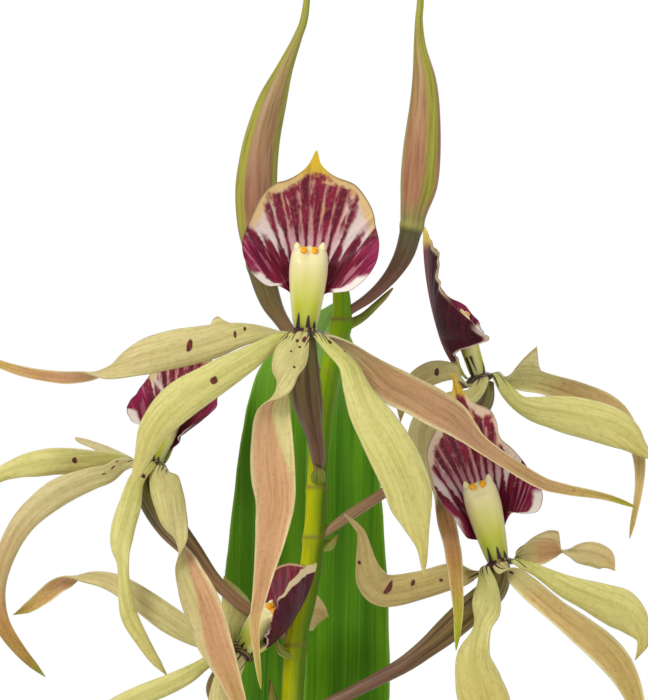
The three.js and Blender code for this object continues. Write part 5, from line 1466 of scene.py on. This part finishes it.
def bark_paint():
    """Chipped bark: brown layers, lighter broken edges and dark cracks."""
    paint = Paint("bark_chips", roughness=0.85)
    place, tone = paint.place_mm(), paint.value("tone")
    colour = paint.mix(tone.smooth(0.0, 1.0), (78, 48, 32), (148, 96, 62))
    colour = paint.mix(paint.cloud(place, 0.35, 5.0).smooth(0.4, 0.65), colour, (112, 74, 50))
    pale = paint.cloud(place, 0.9, 4.0).smooth(0.56, 0.7) * 0.6
    colour = paint.mix(pale, colour, (182, 136, 96))
    cracks = paint.cells(place, 0.35).smooth(0.16, 0.04)
    colour = paint.mix(cracks * 0.7, colour, (40, 24, 18))
    paint.relief(paint.cloud(place, 0.8, 6.0), 0.8, 0.9)
    return paint.finish(colour)


def pot_paint():
    """Fired clay with throwing lines, pale lime bloom, and darker towards the foot."""
    paint = Paint("fired_clay", roughness=0.82)
    place, height = paint.place_mm(), paint.value("height")
    colour = paint.mix(paint.cloud(place, 0.05, 4.0).smooth(0.35, 0.68), (176, 98, 62), (196, 120, 82))
    grain = paint.cloud(place, 1.6, 5.0)
    colour = paint.mix(grain.smooth(0.5, 0.68) * 0.35, colour, (146, 78, 50))
    lime = paint.cloud(place, 0.035, 5.0, 0.4).smooth(0.5, 0.66) * 0.4
    colour = paint.mix(lime, colour, (222, 190, 164))
    colour = paint.mix(height.smooth(26.0, 2.0) * 0.35, colour, (138, 72, 46))
    rings = (height * 2.4).sine()
    rings = rings * 0.12 + grain
    paint.relief(rings, 0.35, 0.5)
    return paint.finish(colour)


def floor_paint():
    paint = Paint("studio_floor", roughness=0.9)
    tone = paint.cloud(paint.place_mm(), 0.004, 2.0)
    return paint.finish(paint.mix(tone.smooth(0.3, 0.7), (238, 238, 236), (246, 246, 244)))


def bloom_frame(bloom):
    """The bloom's own axes, from its centre between the tepals' feet."""
    centre, up, front = (np.array(bloom[key], float) for key in ("centre", "up", "front"))
    up = unit(up)
    front = unit(front - up * front.dot(up))
    return {"centre": centre, "up": up, "front": front, "right": np.cross(up, front)}


def tepal_rows(axes, tepal):
    """The first rows leave the ring straight outwards, front face up, and the first lies under the column."""
    turn = math.radians(tepal["angle"])
    outward = axes["front"] * math.cos(turn) + axes["right"] * math.sin(turn)
    width = np.cross(outward, axes["up"])
    rows = []
    for radius, half, drop in ((RING_INSIDE, 0.8, -0.1), (RING_RADIUS, 1.35, 0.0), (RING_NECK, 1.6, -0.4)):
        place = axes["centre"] + outward * radius + axes["up"] * drop
        rows.append([*place, half, TEPAL_CURL, *width])
    seen_from = VIEWER_ABOVE if tepal.get("from_above") else VIEWER_SIDE
    return rows + blade_rows(tepal["points"], seen_from, TEPAL_CURL)


def tooth_along(tepal):
    """The tooth's place along the rows, which count one more row at the foot than the solid's do."""
    if "tooth" not in tepal:
        return None
    place, side, height, *reach = tepal["tooth"]
    count = len(tepal["points"])
    before, after, power = reach or (0.045, 0.045, 1.4)
    return (place * (count + 1) + 1) / (count + 2), side, height, before, after, power


def tepal_object(name, rows, tepal, seed):
    shape = {
        "stations": 110, "columns": 19, "thickness": TEPAL_THICKNESS, "seed": seed, "tip": 3.0,
        "edge": 0.035, "furrow": 0.16, "margin_roll": -0.08, "ripple": 0.32, "ripple_length": 7.0,
        "tooth": tooth_along(tepal),
    }
    return blade_object(name, rows, shape)


def closed_blend(rows, count):
    """Even samples of the closed Catmull-Rom curve through rows."""
    padded = [*rows[-2:], *rows, *rows[:3]]
    inside = np.linspace(2, 2 + len(rows), count, endpoint=False)
    return blend(padded, inside / (len(padded) - 1))


def lip_ruffle(turn, seed):
    """Uneven waves round the shell's rim."""
    circle = [Vector((4 * math.cos(a), 4 * math.sin(a), seed)) for a in turn]
    return np.array([noise.noise(v * 1.6) * 0.9 + noise.noise(v * 3.4) * 0.35 for v in circle])


def lip_faces(rays, levels):
    """Faces of two fans of rays, inside and outside, joined round the rim."""
    half = 1 + rays * levels
    faces = []
    for j in range(rays):
        after = (j + 1) % rays
        faces.append((0, 1 + j, 1 + after))
        faces.append((half, half + 1 + after, half + 1 + j))
        for i in range(levels - 1):
            inner, outer = 1 + i * rays, 1 + (i + 1) * rays
            faces.append((inner + j, outer + j, outer + after, inner + after))
            faces.append((half + inner + j, half + inner + after, half + outer + after, half + outer + j))
        edge = 1 + (levels - 1) * rays
        faces.append((edge + j, half + edge + j, half + edge + after, edge + after))
    return faces


def lip_object(name, bloom, axes, seed):
    """Cupped shell as a fan of rays from the throat, with a ruffled rim."""
    size, wide = bloom["size"], bloom["wide"]
    rim = closed_blend(LIP_RIMS[bloom["rim"]], LIP_RAYS)
    throat = np.array(LIP_THROAT, float)
    ruffle = lip_ruffle(round_turns(LIP_RAYS), seed)
    points, values = [], {"side": [], "height": [], "share": [], "front": []}
    for face in (-1, 1):
        for share in np.linspace(0, 1, LIP_LEVELS + 1):
            ring = throat + share * (rim - throat)
            ring[:, 2] = throat[2] + share**2 * (rim[:, 2] - throat[2])
            radial = np.arctan2(ring[:, 0] - 0.5, ring[:, 1] - 1.0)
            pleats = 0.16 * np.sin(radial * 62) * share * (1 - share)
            ring[:, 2] += ruffle * share**5 * 0.75 + pleats
            if share == 0:
                ring = ring[:1]
            side, height = ring[:, 0] * size * wide, ring[:, 1] * size
            depth = ring[:, 2] * size + face * LIP_THICKNESS * (1 - 0.7 * share**6) / 2
            place = axes["centre"] + np.outer(side, axes["right"]) + np.outer(height, axes["up"])
            points.append(place - np.outer(depth, axes["front"]))
            whole = np.ones(len(ring))
            numbers = (ring[:, 0], ring[:, 1], whole * share, whole * (face < 0))
            for key, column in zip(values, numbers):
                values[key].append(column)
    values = {key: np.concatenate(columns) for key, columns in values.items()}
    return mesh_object(name, np.concatenate(points), lip_faces(LIP_RAYS, LIP_LEVELS), values)


def to_world(axes, size, side, depth, height):
    """A place in a bloom's own frame, with depth counted away from the viewer."""
    place = np.multiply.outer(side, axes["right"]) + np.multiply.outer(height, axes["up"])
    return axes["centre"] + size * (place - np.multiply.outer(depth, axes["front"]))


def column_axes(axes, bloom):
    """The bloom's axes turned about the column's own axis, with the column's extra width worked in."""
    turn = math.radians(bloom["column_turn"])
    right, back = axes["right"], -axes["front"]
    turned_right = right * math.cos(turn) + back * math.sin(turn)
    turned_back = back * math.cos(turn) - right * math.sin(turn)
    return {**axes, "right": turned_right * bloom["column_wide"], "front": -turned_back}


def column_object(name, axes, size, fullness, lopsided):
    """Club-shaped column with a shallow groove down its face and a hollow below its tip."""
    stations, sides = 46, 40
    sample = blend(COLUMN_ROWS, np.linspace(0, 1, stations))
    turn = round_turns(sides)
    cosine, sine = np.cos(turn), np.sin(turn)
    height = np.repeat(sample[:, 0][:, None], sides, axis=1)
    hump = smoothstep(height, 1.0, 6.0) * smoothstep(height, 16.5, 12.0)
    side = np.outer(sample[:, 1], cosine) * (1 - lopsided * hump * np.sign(cosine))
    reach = np.where(sine[None, :] > 0, sample[:, 3][:, None], sample[:, 2][:, None] * fullness)
    deep = reach * sine[None, :]
    facing = np.clip(-sine, 0, 1)[None, :]
    deep = deep + 0.3 * np.exp(-(cosine / 0.28) ** 2)[None, :] * facing * smoothstep(height, 2.0, 6.0)
    hollow = smoothstep(height, 13.6, 14.6) * smoothstep(height, 17.2, 16.2)
    deep = deep + 0.7 * hollow * np.exp(-(cosine / 0.6) ** 2)[None, :] * facing
    rings = to_world(axes, size, side + COLUMN_LEAN * height, deep, height)
    return ring_object(name, rings, {"height": height, "side": side, **ring_values(turn, stations)})


def small_body(name, axes, size, rows, sides=14):
    """Small round body along rows of [side, depth, height, half width, half depth] in a bloom's frame."""
    sample = blend(rows, np.linspace(0, 1, 12))
    turn = round_turns(sides)
    side = sample[:, 0][:, None] + np.outer(sample[:, 3], np.cos(turn)) + COLUMN_LEAN * sample[:, 2][:, None]
    deep = sample[:, 1][:, None] + np.outer(sample[:, 4], np.sin(turn))
    height = np.repeat(sample[:, 2][:, None], sides, axis=1)
    rings = to_world(axes, size, side, deep, height)
    return ring_object(name, rings, {"height": height, "side": side, "ring_x": side * 0, "ring_y": deep * 0})


def column_top(name, axes, size, cap, paints):
    """Three small fleshy teeth at the column's tip, and the anther cap's two lobes between them."""
    for word, side, depth, foot, top, lean in COLUMN_TEETH:
        tall = top - foot
        rows = [
            [side, depth, foot, 0.6, 0.8],
            [side + lean, depth, foot + 0.45 * tall, 0.85, 0.9],
            [side + 2 * lean, depth - 0.1, foot + 0.8 * tall, 0.6, 0.6],
            [side + 3 * lean, depth - 0.2, top, 0.12, 0.12],
        ]
        tooth = small_body(f"{name}_column_tooth_{word}", axes, size, rows)
        settle(tooth, paints["column"], "column")
    for word, side in ANTHER_LOBES.items():
        rows = [
            [side, -1.2, ANTHER_HEIGHT - 0.8 * cap, 0.2, 0.2],
            [side, -0.9 - 0.85 * cap, ANTHER_HEIGHT - 0.5 * cap, 0.6 * cap, 0.5 * cap],
            [side, -0.9 - 0.7 * cap, ANTHER_HEIGHT + 0.1 * cap, 0.7 * cap, 0.6 * cap],
            [side, -1.1, ANTHER_HEIGHT + 0.7 * cap, 0.35, 0.4],
        ]
        settle(small_body(f"{name}_anther_{word}", axes, size, rows), paints["anther"], "column")


def ovary_relief(share, along, turn):
    body = smoothstep(share, 0.35, 0.6) * smoothstep(share, 1.0, 0.9)
    return 0.22 * body * np.sin(6 * turn)


def sunk_foot(rows):
    """The same rows with one more before them, inside the stalk that they grow from."""
    first, second = np.array(rows[0], float), np.array(rows[1], float)
    inward = unit(first[:3] - second[:3]) * FOOT_SUNK
    return [[*(first[:3] + inward), first[3]], *rows]


def make_column(name, bloom, axes, paints):
    """The column with its teeth and anther cap, and the ring of flesh that it stands on."""
    size = bloom["column_size"]
    fullness, cap, lopsided = COLUMN_FACES.get(name, (1.0, 1.0, 0.0))
    turned = column_axes(axes, bloom)
    skin = paints["column_marked" if name in ("rear", "left") else "column"]
    body = column_object(f"{name}_column_body", turned, size, fullness, lopsided)
    settle(body, skin, "column", f"bloom_{name}_column")
    column_top(name, turned, size, cap, paints)
    settle(small_body(f"{name}_ring", axes, 1.0, RING_ROWS, 28), paints["ring"], "column")


def make_bloom(name, bloom, seed, paints):
    axes = bloom_frame(bloom)
    look = {**LIP_LOOK, **LIP_LOOKS[name], "seed": float(seed * 13)}
    lip = lip_object(f"{name}_shell", bloom, axes, seed)
    settle(lip, lip_paint(f"{name}_shell_colours", look), "lip", f"bloom_{name}_lip")
    make_column(name, bloom, axes, paints)
    ovary = tube_object(f"{name}_ovary_body", sunk_foot(bloom["ovary"]), 100, 36, ovary_relief)
    skin = paints["ovary" if name in ("top", "right") else "ovary_pale"]
    settle(ovary, skin, "ovary", f"bloom_{name}_ovary")
    for i, part in enumerate(("sepal_left", "petal_left", "sepal_middle", "petal_right", "sepal_right")):
        place = (name, part)
        kind = part.split("_")[0]
        shape = {**bloom[part], **FINE_TEETH.get(place, {})}
        tepal = tepal_object(f"{name}_{part}_blade", tepal_rows(axes, shape), shape, seed * 5 + i)
        look = {**TEPAL_LOOK, **TEPAL_KINDS[kind], **LOOKS.get(place, {}), "seed": float(seed * 5 + i)}
        settle(tepal, tepal_paint(f"{name}_{part}_colours", look), kind, f"bloom_{name}_{part}")


def leaf_object(name, points, seed):
    shape = {
        "stations": 120, "columns": 31, "thickness": LEAF_THICKNESS, "seed": seed, "tip": 9.0,
        "edge": 0.012, "furrow": 0.7, "margin_roll": -0.03, "ripple": 0.5, "ripple_length": 30.0,
    }
    rows = blade_rows(points, VIEWER_SIDE, LEAF_CHANNEL)
    rows[0][4] = LEAF_FOOT_FOLD
    first, second = np.array(rows[0]), np.array(rows[1])
    sunk = first.copy()
    sunk[:3] += unit(first[:3] - second[:3]) * LEAF_SUNK
    sunk[3] *= 0.75
    return blade_object(name, [list(sunk), *rows], shape)


def make_stalk(paints):
    sample = blend(STALK_ROUTE, np.linspace(0, 1, 400))

    def relief(share, along, turn):
        height = np.interp(along, lengths_along(sample[:, :3]), sample[:, 2])
        swelling = sum(math.exp(-((height - joint) / 1.1) ** 2) for joint in JOINT_HEIGHTS)
        return 0.22 * swelling + 0.05 * np.sin(turn * 9 + 0.4) + 0.03 * math.sin(along * 0.9)

    stalk = tube_object("stalk_body", STALK_ROUTE, 400, 40, relief)
    heights = np.array([v.co.z for v in stalk.data.vertices]) / MM
    joint = np.zeros(len(heights))
    for level in JOINT_HEIGHTS:
        joint = np.maximum(joint, np.exp(-((heights - level - 0.6) / 0.45) ** 2))
    add_numbers(stalk.data, "joint", joint)
    add_numbers(stalk.data, "level", heights)
    settle(stalk, paints["stalk"], "stalk", "flower_stalk")
    for i, points in enumerate(BRACTS):
        shape = {
            "stations": 40, "columns": 13, "thickness": BRACT_THICKNESS, "seed": 60 + i, "tip": 2.5,
            "edge": 0.06, "furrow": 0.1, "margin_roll": -0.1, "ripple": 0.2, "ripple_length": 3.0,
        }
        bract = blade_object(f"stalk_bract_{i + 1}", blade_rows(points, VIEWER_SIDE, BRACT_CURL), shape)
        settle(bract, paints["bract"], "stalk", "flower_stalk")


def bud_relief(share, along, turn):
    """Three furrows where the closed sepals meet, and a ring where the bud joins its ovary."""
    body = smoothstep(share, 0.3, 0.38)
    furrow = np.exp(-((np.cos(3 * (turn + 1.57)) + 1) / 0.12))
    ring = math.exp(-((share - 0.3) / 0.012) ** 2)
    return -0.28 * body * furrow * (1 - 0.5 * share) + 0.22 * ring


def make_buds():
    for name, rows in BUDS.items():
        bud = tube_object(f"{name}_body", sunk_foot(rows), 180, 48, bud_relief)
        settle(bud, bud_paint(f"{name}_colours", BUD_COLOURS[name]), "bud", name)


def on_bulb(bulb, rise, across, deep):
    """Points round a pseudobulb's leaning axis, from distances across its flattened section."""
    turned = math.radians(bulb["turn"])
    foot, top = np.array(bulb["foot"], float), np.array(bulb["top"], float)
    x = foot[0] + rise * (top[0] - foot[0]) + across * math.cos(turned) - deep * math.sin(turned)
    y = foot[1] + rise * (top[1] - foot[1]) + across * math.sin(turned) + deep * math.cos(turned)
    z = BULB_FOOT + rise * bulb["height"] + across * 0
    return np.stack([x, y, z], axis=-1)


def bulb_section(bulb, girth, swell, turn, out=0.0):
    """Distances across a pseudobulb's flattened section at an angle, and out mm beyond it."""
    radius = bulb["radius"]
    across = (radius * girth * swell + out) * np.cos(turn)
    deep = (radius * BULB_FLATTENING * (0.25 + 0.75 * girth) * swell + out) * np.sin(turn)
    return across, deep


def bulb_object(name, bulb):
    """Flattened pear with lengthwise ridges that follow it from foot to its rounded tip."""
    outline = blend(BULB_OUTLINE, np.linspace(0, 1, 60))
    girth = outline[-1][1]
    dome = [[1 + rise / bulb["height"], girth * share] for rise, share in BULB_DOME]
    outline = np.array([*outline, *dome])
    turn = round_turns(BULB_SIDES)
    rings, ridges = [], []
    for rise, girth in outline:
        wobble = np.array([noise.noise(Vector((math.cos(a) * 2, math.sin(a) * 2, rise * 2))) for a in turn])
        ridge = np.cos(BULB_RIDGES * turn + 0.5 * wobble)
        swell = 1 + BULB_RIDGE_DEPTH * ridge + 0.02 * wobble
        rings.append(on_bulb(bulb, rise, *bulb_section(bulb, girth, swell, turn)))
        ridges.append(ridge)
    values = {"share": np.repeat(outline[:, 0][:, None], len(turn), axis=1), "ridge": np.array(ridges)}
    return ring_object(f"{name}_body", np.array(rings), values)


def sheath_object(name, bulb, start, end, high, seed):
    """Torn papery sheath round part of a pseudobulb, from a start to an end angle in degrees."""
    stations, columns = 26, 40
    turn = np.radians(np.linspace(start, end, columns))
    tops = high + 0.09 * wave(turn, seed, 0.35) + 0.04 * wave(turn, seed + 3, 0.12)
    faces = []
    for gap in SHEATH_GAPS:
        grid = np.empty((stations, columns, 3))
        for k in range(columns):
            rises = np.linspace(SHEATH_FOOT, tops[k], stations)
            girth = np.interp(rises, *zip(*BULB_OUTLINE))
            out = gap + 0.9 * smoothstep(rises, tops[k] - 0.12, tops[k])
            swell = 1 + BULB_RIDGE_DEPTH * np.cos(BULB_RIDGES * turn[k])
            grid[:, k] = on_bulb(bulb, rises, *bulb_section(bulb, girth, swell, turn[k], out))
        faces.append(grid[:, ::-1])
    outer, inner = faces
    values = {
        "along": outer[:, :, 2] - BULB_FOOT,
        "across_mm": np.repeat((turn[::-1] * bulb["radius"])[None, :], stations, axis=0),
    }
    return shell_object(name, inner[:, ::-1], outer[:, ::-1], values)


def make_bulbs(paints):
    for i, (name, bulb) in enumerate(BULBS.items()):
        settle(bulb_object(name, bulb), paints["bulb"], "pseudobulb", name)
        for j, (start, end, high) in enumerate(SHEATHS):
            turned, seed = 50 * i, 20 + 7 * i + j
            sheath = sheath_object(f"{name}_sheath_{j + 1}", bulb, start + turned, end + turned, high, seed)
            settle(sheath, paints["sheath"], "pseudobulb")


def seeded_random(seed):
    """The same draws as the solids use, so that the roots lie where the solid's roots lie."""
    state = [seed]

    def draw():
        state[0] = (state[0] * 1664525 + 1013904223) % 4294967296
        return state[0] / 4294967296

    return draw


def root_routes():
    draw = seeded_random(ROOT_SEED)
    routes = []
    for i in range(ROOT_COUNT):
        start = blend(RHIZOME_ROUTE, np.array([(i + 0.5) / ROOT_COUNT]))[0]
        angle = 2.4 * i + draw()
        reach = min(20 + 12 * draw(), 45 - math.hypot(start[0], start[1]) * 0.35)
        bend = 0.5 * (draw() - 0.5)
        rows = []
        for step, height in enumerate((87, 92, 94.5, 92, 80)):
            gone = reach * step / 4
            heading = angle + bend * step
            x = start[0] + gone * math.cos(heading)
            y = start[1] + gone * math.sin(heading)
            inside = min(1, 46 / max(math.hypot(x, y), 1))
            rows.append([x * inside, y * inside, height, ROOT_RADIUS * (1 - 0.08 * step)])
        routes.append(rows)
    return routes


def root_relief(share, along, turn):
    return 0.12 * np.array([noise.noise(Vector((along * 0.5, math.cos(a), math.sin(a)))) for a in turn])


def make_roots(paints):
    rhizome = tube_object("rhizome_body", RHIZOME_ROUTE, 90, 28, root_relief)
    settle(rhizome, paints["root"], "rhizome", "rhizome_and_roots")
    for i, rows in enumerate(root_routes()):
        root = tube_object(f"root_{i + 1}", rows, 60, 16, root_relief)
        settle(root, paints["root"], "rhizome", "rhizome_and_roots")


def turned_points(profile, sides):
    """Points and faces of a body turned round the Z axis, from the axis out and back to the axis."""
    turn = round_turns(sides)
    points, rings = [], []
    for radius, height in profile:
        rings.append(len(points))
        points += [(radius * math.cos(a), radius * math.sin(a), height) for a in (turn if radius else [0.0])]
    faces = []
    for i in range(len(profile) - 1):
        here, there = rings[i], rings[i + 1]
        for k in range(sides):
            side = (k + 1) % sides
            if profile[i][0] == 0:
                faces.append((here, there + side, there + k))
            elif profile[i + 1][0] == 0:
                faces.append((here + k, here + side, there))
            else:
                faces.append((here + k, here + side, there + side, there + k))
    return points, faces


def finely(outline, step):
    """The outline with more points between its corners."""
    fine = []
    for (r1, z1), (r2, z2) in zip(outline, outline[1:]):
        parts = max(1, round(math.hypot(r2 - r1, z2 - z1) / step))
        fine += [(r1 + (r2 - r1) * i / parts, z1 + (z2 - z1) * i / parts) for i in range(parts)]
    return [*fine, outline[-1]]


def drainage_cutter():
    """One mesh of upright pins where the drainage holes are."""
    pin = [(0, -9), (DRAIN_RADIUS, -9), (DRAIN_RADIUS, POT_FLOOR + 9), (0, POT_FLOOR + 9)]
    pin_points, pin_faces = turned_points(pin, 40)
    points, faces = [], []
    for i in range(DRAIN_COUNT):
        angle = 2 * math.pi * (i + 0.5) / DRAIN_COUNT
        x, y = DRAIN_RING * math.cos(angle), DRAIN_RING * math.sin(angle)
        start = len(points)
        points += [(x + p[0], y + p[1], p[2]) for p in pin_points]
        faces += [tuple(start + n for n in face) for face in pin_faces]
    return mesh_object("drainage_cutter", points, faces, {}, 40)


def make_pot(paints):
    """The solid's profile with rounded corners, and drainage holes cut through its floor."""
    top, base, rim = POT_TOP_RADIUS, POT_BASE_RADIUS, POT_HEIGHT - RIM_HEIGHT
    inner_top, inner_base = top - POT_WALL, base - POT_WALL
    outline = [
        (0, 0), (base - 1.6, 0), (base - 0.5, 0.4), (base, 1.5),
        (top - RIM_STEP - 1.4, rim - 0.4), (top - RIM_STEP - 1.0, rim),
        (top - 1.4, rim + 0.3), (top - 0.7, rim + 1), (top - 0.1, POT_HEIGHT - 2.4),
        (top - 0.3, POT_HEIGHT - 1), (top - 1.2, POT_HEIGHT - 0.1), (top - 2.2, POT_HEIGHT),
        (inner_top + 0.4, POT_HEIGHT - 0.2), (inner_top - 0.3, POT_HEIGHT - 1.4),
        (inner_base, POT_FLOOR + 2), (inner_base - 0.8, POT_FLOOR + 0.6), (inner_base - 2.5, POT_FLOOR),
        (0, POT_FLOOR),
    ]
    points, faces = turned_points(finely(outline, 6.0), POT_SIDES)
    pot = mesh_object("pot_wall", points, faces, {}, 40)
    cutter = drainage_cutter()
    cut = pot.modifiers.new("drainage", "BOOLEAN")
    cut.operation = "DIFFERENCE"
    cut.solver = "EXACT"
    cut.object = cutter
    mesh = bpy.data.meshes.new_from_object(pot.evaluated_get(bpy.context.evaluated_depsgraph_get()))
    pot.modifiers.clear()
    pot.data = mesh
    bpy.data.objects.remove(cutter)
    add_numbers(mesh, "height", [v.co.z / MM for v in mesh.vertices])
    settle(pot, paints["pot"], "pot", "pot")


def box_surface(steps):
    """Points from -1 to 1 over the surface of a cube, and the faces between them."""
    index, faces = {}, []
    for face in range(6):
        axis, sign = face // 2, 1 if face % 2 else -1
        for u in range(steps):
            for v in range(steps):
                loop = []
                for du, dv in ((0, 0), (1, 0), (1, 1), (0, 1)):
                    spot = [sign, sign, sign]
                    spot[(axis + 1) % 3] = round(2 * (u + du) / steps - 1, 3)
                    spot[(axis + 2) % 3] = round(2 * (v + dv) / steps - 1, 3)
                    loop.append(index.setdefault(tuple(spot), len(index)))
                faces.append(loop if sign > 0 else loop[::-1])
    return list(index), faces


def chip_object(name, chips, seed):
    """Broken flakes of bark joined in one mesh, each a bent box roughened by noise."""
    draw = random.Random(seed)
    # Unseeded, noise_vector shifts its noise from run to run.
    noise.seed_set(seed)
    corners, box_faces = box_surface(5)
    points, faces, tones = [], [], []
    for centre, size, turn in chips:
        start = len(points)
        tones += [draw.random()] * len(corners)
        for corner in corners:
            shape = Vector(corner)
            rounded = shape * (1 - 0.07 * (shape.length_squared - 1))
            local = Vector([c * s / 2 for c, s in zip(rounded, size)])
            rough = noise.noise_vector(local * 0.35 + Vector((start * 0.1, seed, 0))) * 0.9
            local = turn @ (local + rough)
            points.append([c + d for c, d in zip(centre, local)])
        faces += [tuple(start + n for n in loop) for loop in box_faces]
    return mesh_object(name, points, faces, {"tone": tones}, 35)


def bark_chips(spread):
    """Centre, size and turn of each chip, set out by a sunflower rule."""
    draw = random.Random(BARK_SEED)
    golden = math.pi * (3 - math.sqrt(5))
    chips = []
    for i in range(BARK_CHIP_COUNT):
        distance = spread * math.sqrt((i + 0.5) / BARK_CHIP_COUNT)
        size = [s * draw.uniform(0.6, 1.15) for s in BARK_CHIP_SIZE]
        tilt = Vector((draw.uniform(-1, 1), draw.uniform(-1, 1), 4)).normalized()
        spin = Matrix.Rotation(draw.uniform(0, math.pi), 3, "Z")
        turned = tilt.to_track_quat("Z", "Y").to_matrix() @ spin
        height = BARK_TOP - 0.5 + draw.uniform(-1, 2.2)
        centre = (distance * math.cos(i * golden), distance * math.sin(i * golden), height)
        chips.append((centre, size, turned))
    return chips


def make_bark(paints):
    """A bed just under the top, covered with loose chips."""
    inner_top = POT_TOP_RADIUS - POT_WALL - 0.4
    inner_base = POT_BASE_RADIUS - POT_WALL
    slope = (inner_top - inner_base) / (POT_HEIGHT - 1.5 - POT_FLOOR - 2)
    rows = []
    sides = ((20.0, BARK_WALL_GAP), (60.0, BARK_WALL_GAP), (BARK_TOP - 6, BARK_WALL_GAP))
    for height, inset in ((POT_FLOOR + 0.6, 3.0), *sides, (BARK_BED_TOP, 4.0)):
        rows.append((inner_base + slope * (height - POT_FLOOR - 2) - inset, height))
    flat_from = len(rows) - 1
    rows += [(rows[-1][0] * share, BARK_BED_TOP) for share in np.linspace(1, 0.02, 12)[1:]]
    turn = round_turns(BARK_SIDES)
    rings = np.array([[(r * math.cos(a), r * math.sin(a), z) for a in turn] for r, z in rows])
    for ring in rings[flat_from:]:
        for point in ring:
            point[2] += 1.5 * noise.noise(Vector(point * 0.15))
    bed = ring_object("bark_bed", rings, {"tone": np.full(rings.shape[:2], 0.2)})
    settle(bed, paints["bark"], "bark", "bark")
    spread = inner_base + slope * (BARK_TOP - POT_FLOOR - 2) - 8
    settle(chip_object("bark_chips", bark_chips(spread), CHIP_SEED), paints["bark"], "bark", "bark")


def make_camera():
    data = bpy.data.cameras.new("camera")
    data.sensor_width = SENSOR_MM
    data.lens = LENS_MM
    camera = bpy.data.objects.new("camera", data)
    distance = IMAGE_HEIGHT_PX * MM_PER_PX * LENS_MM / SENSOR_MM
    camera.location = (VIEW_CENTRE[0] * MM, -distance * MM, VIEW_CENTRE[1] * MM)
    camera.rotation_euler = (math.pi / 2, 0, 0)
    bpy.context.scene.collection.objects.link(camera)
    bpy.context.scene.camera = camera


def make_world():
    """White where the camera looks past the plant, and a softer even light on the plant itself."""
    world = bpy.data.worlds.new("studio")
    bpy.context.scene.world = world
    world.use_nodes = True
    tree = world.node_tree
    tree.nodes.clear()
    choose = tree.nodes.new("ShaderNodeMixShader")
    paths = tree.nodes.new("ShaderNodeLightPath")
    tree.links.new(paths.outputs["Is Camera Ray"], choose.inputs[0])
    for index, strength in ((1, 0.55), (2, 1.0)):
        white = tree.nodes.new("ShaderNodeBackground")
        white.inputs["Color"].default_value = (1, 1, 1, 1)
        white.inputs["Strength"].default_value = strength
        tree.links.new(white.outputs[0], choose.inputs[index])
    tree.links.new(choose.outputs[0], tree.nodes.new("ShaderNodeOutputWorld").inputs[0])


def make_light(name, place, size, watts, colour):
    data = bpy.data.lights.new(name, "AREA")
    data.shape = "DISK"
    data.size = size
    data.energy = watts
    data.color = colour
    light = bpy.data.objects.new(name, data)
    light.location = place
    light.rotation_euler = (Vector(LIGHT_TARGET) - Vector(place)).to_track_quat("-Z", "Y").to_euler()
    bpy.context.scene.collection.objects.link(light)


def make_studio():
    make_world()
    for name, place, size, watts, colour in LIGHTS:
        make_light(name, place, size, watts, colour)
    scene = bpy.context.scene
    scene.view_settings.view_transform = "Standard"
    scene.view_settings.look = "None"
    turn = round_turns(FLOOR_SIDES)
    points = [(FLOOR_RADIUS * math.cos(a), FLOOR_RADIUS * math.sin(a), -0.2) for a in turn]
    disc = mesh_object("studio_floor", points, [tuple(range(FLOOR_SIDES))], {})
    disc.data.materials.append(floor_paint())


def main():
    make_camera()
    make_studio()
    paints = {
        "column": column_paint("column_flesh", 3.2),
        "column_marked": column_paint("column_flesh_marked", 6.5),
        "ring": ring_paint(), "anther": anther_paint(), "stalk": stalk_paint(), "bract": bract_paint(),
        "bulb": bulb_paint(), "sheath": sheath_paint(), "root": root_paint(), "bark": bark_paint(),
        "pot": pot_paint(),
        "ovary": ovary_paint("ovary_skin", OVARY_COLOURS),
        "ovary_pale": ovary_paint("ovary_pale_skin", OVARY_PALE_COLOURS),
    }
    for seed, (name, bloom) in enumerate(BLOOMS.items(), 1):
        make_bloom(name, {**USUAL_BLOOM, **bloom}, seed, paints)
    for i, (name, points) in enumerate(LEAVES.items()):
        leaf = leaf_object(f"{name}_blade", points, 40 + i)
        settle(leaf, leaf_paint(f"{name}_colours"), "leaf", name)
    make_stalk(paints)
    make_buds()
    make_bulbs(paints)
    make_roots(paints)
    make_pot(paints)
    make_bark(paints)


main()
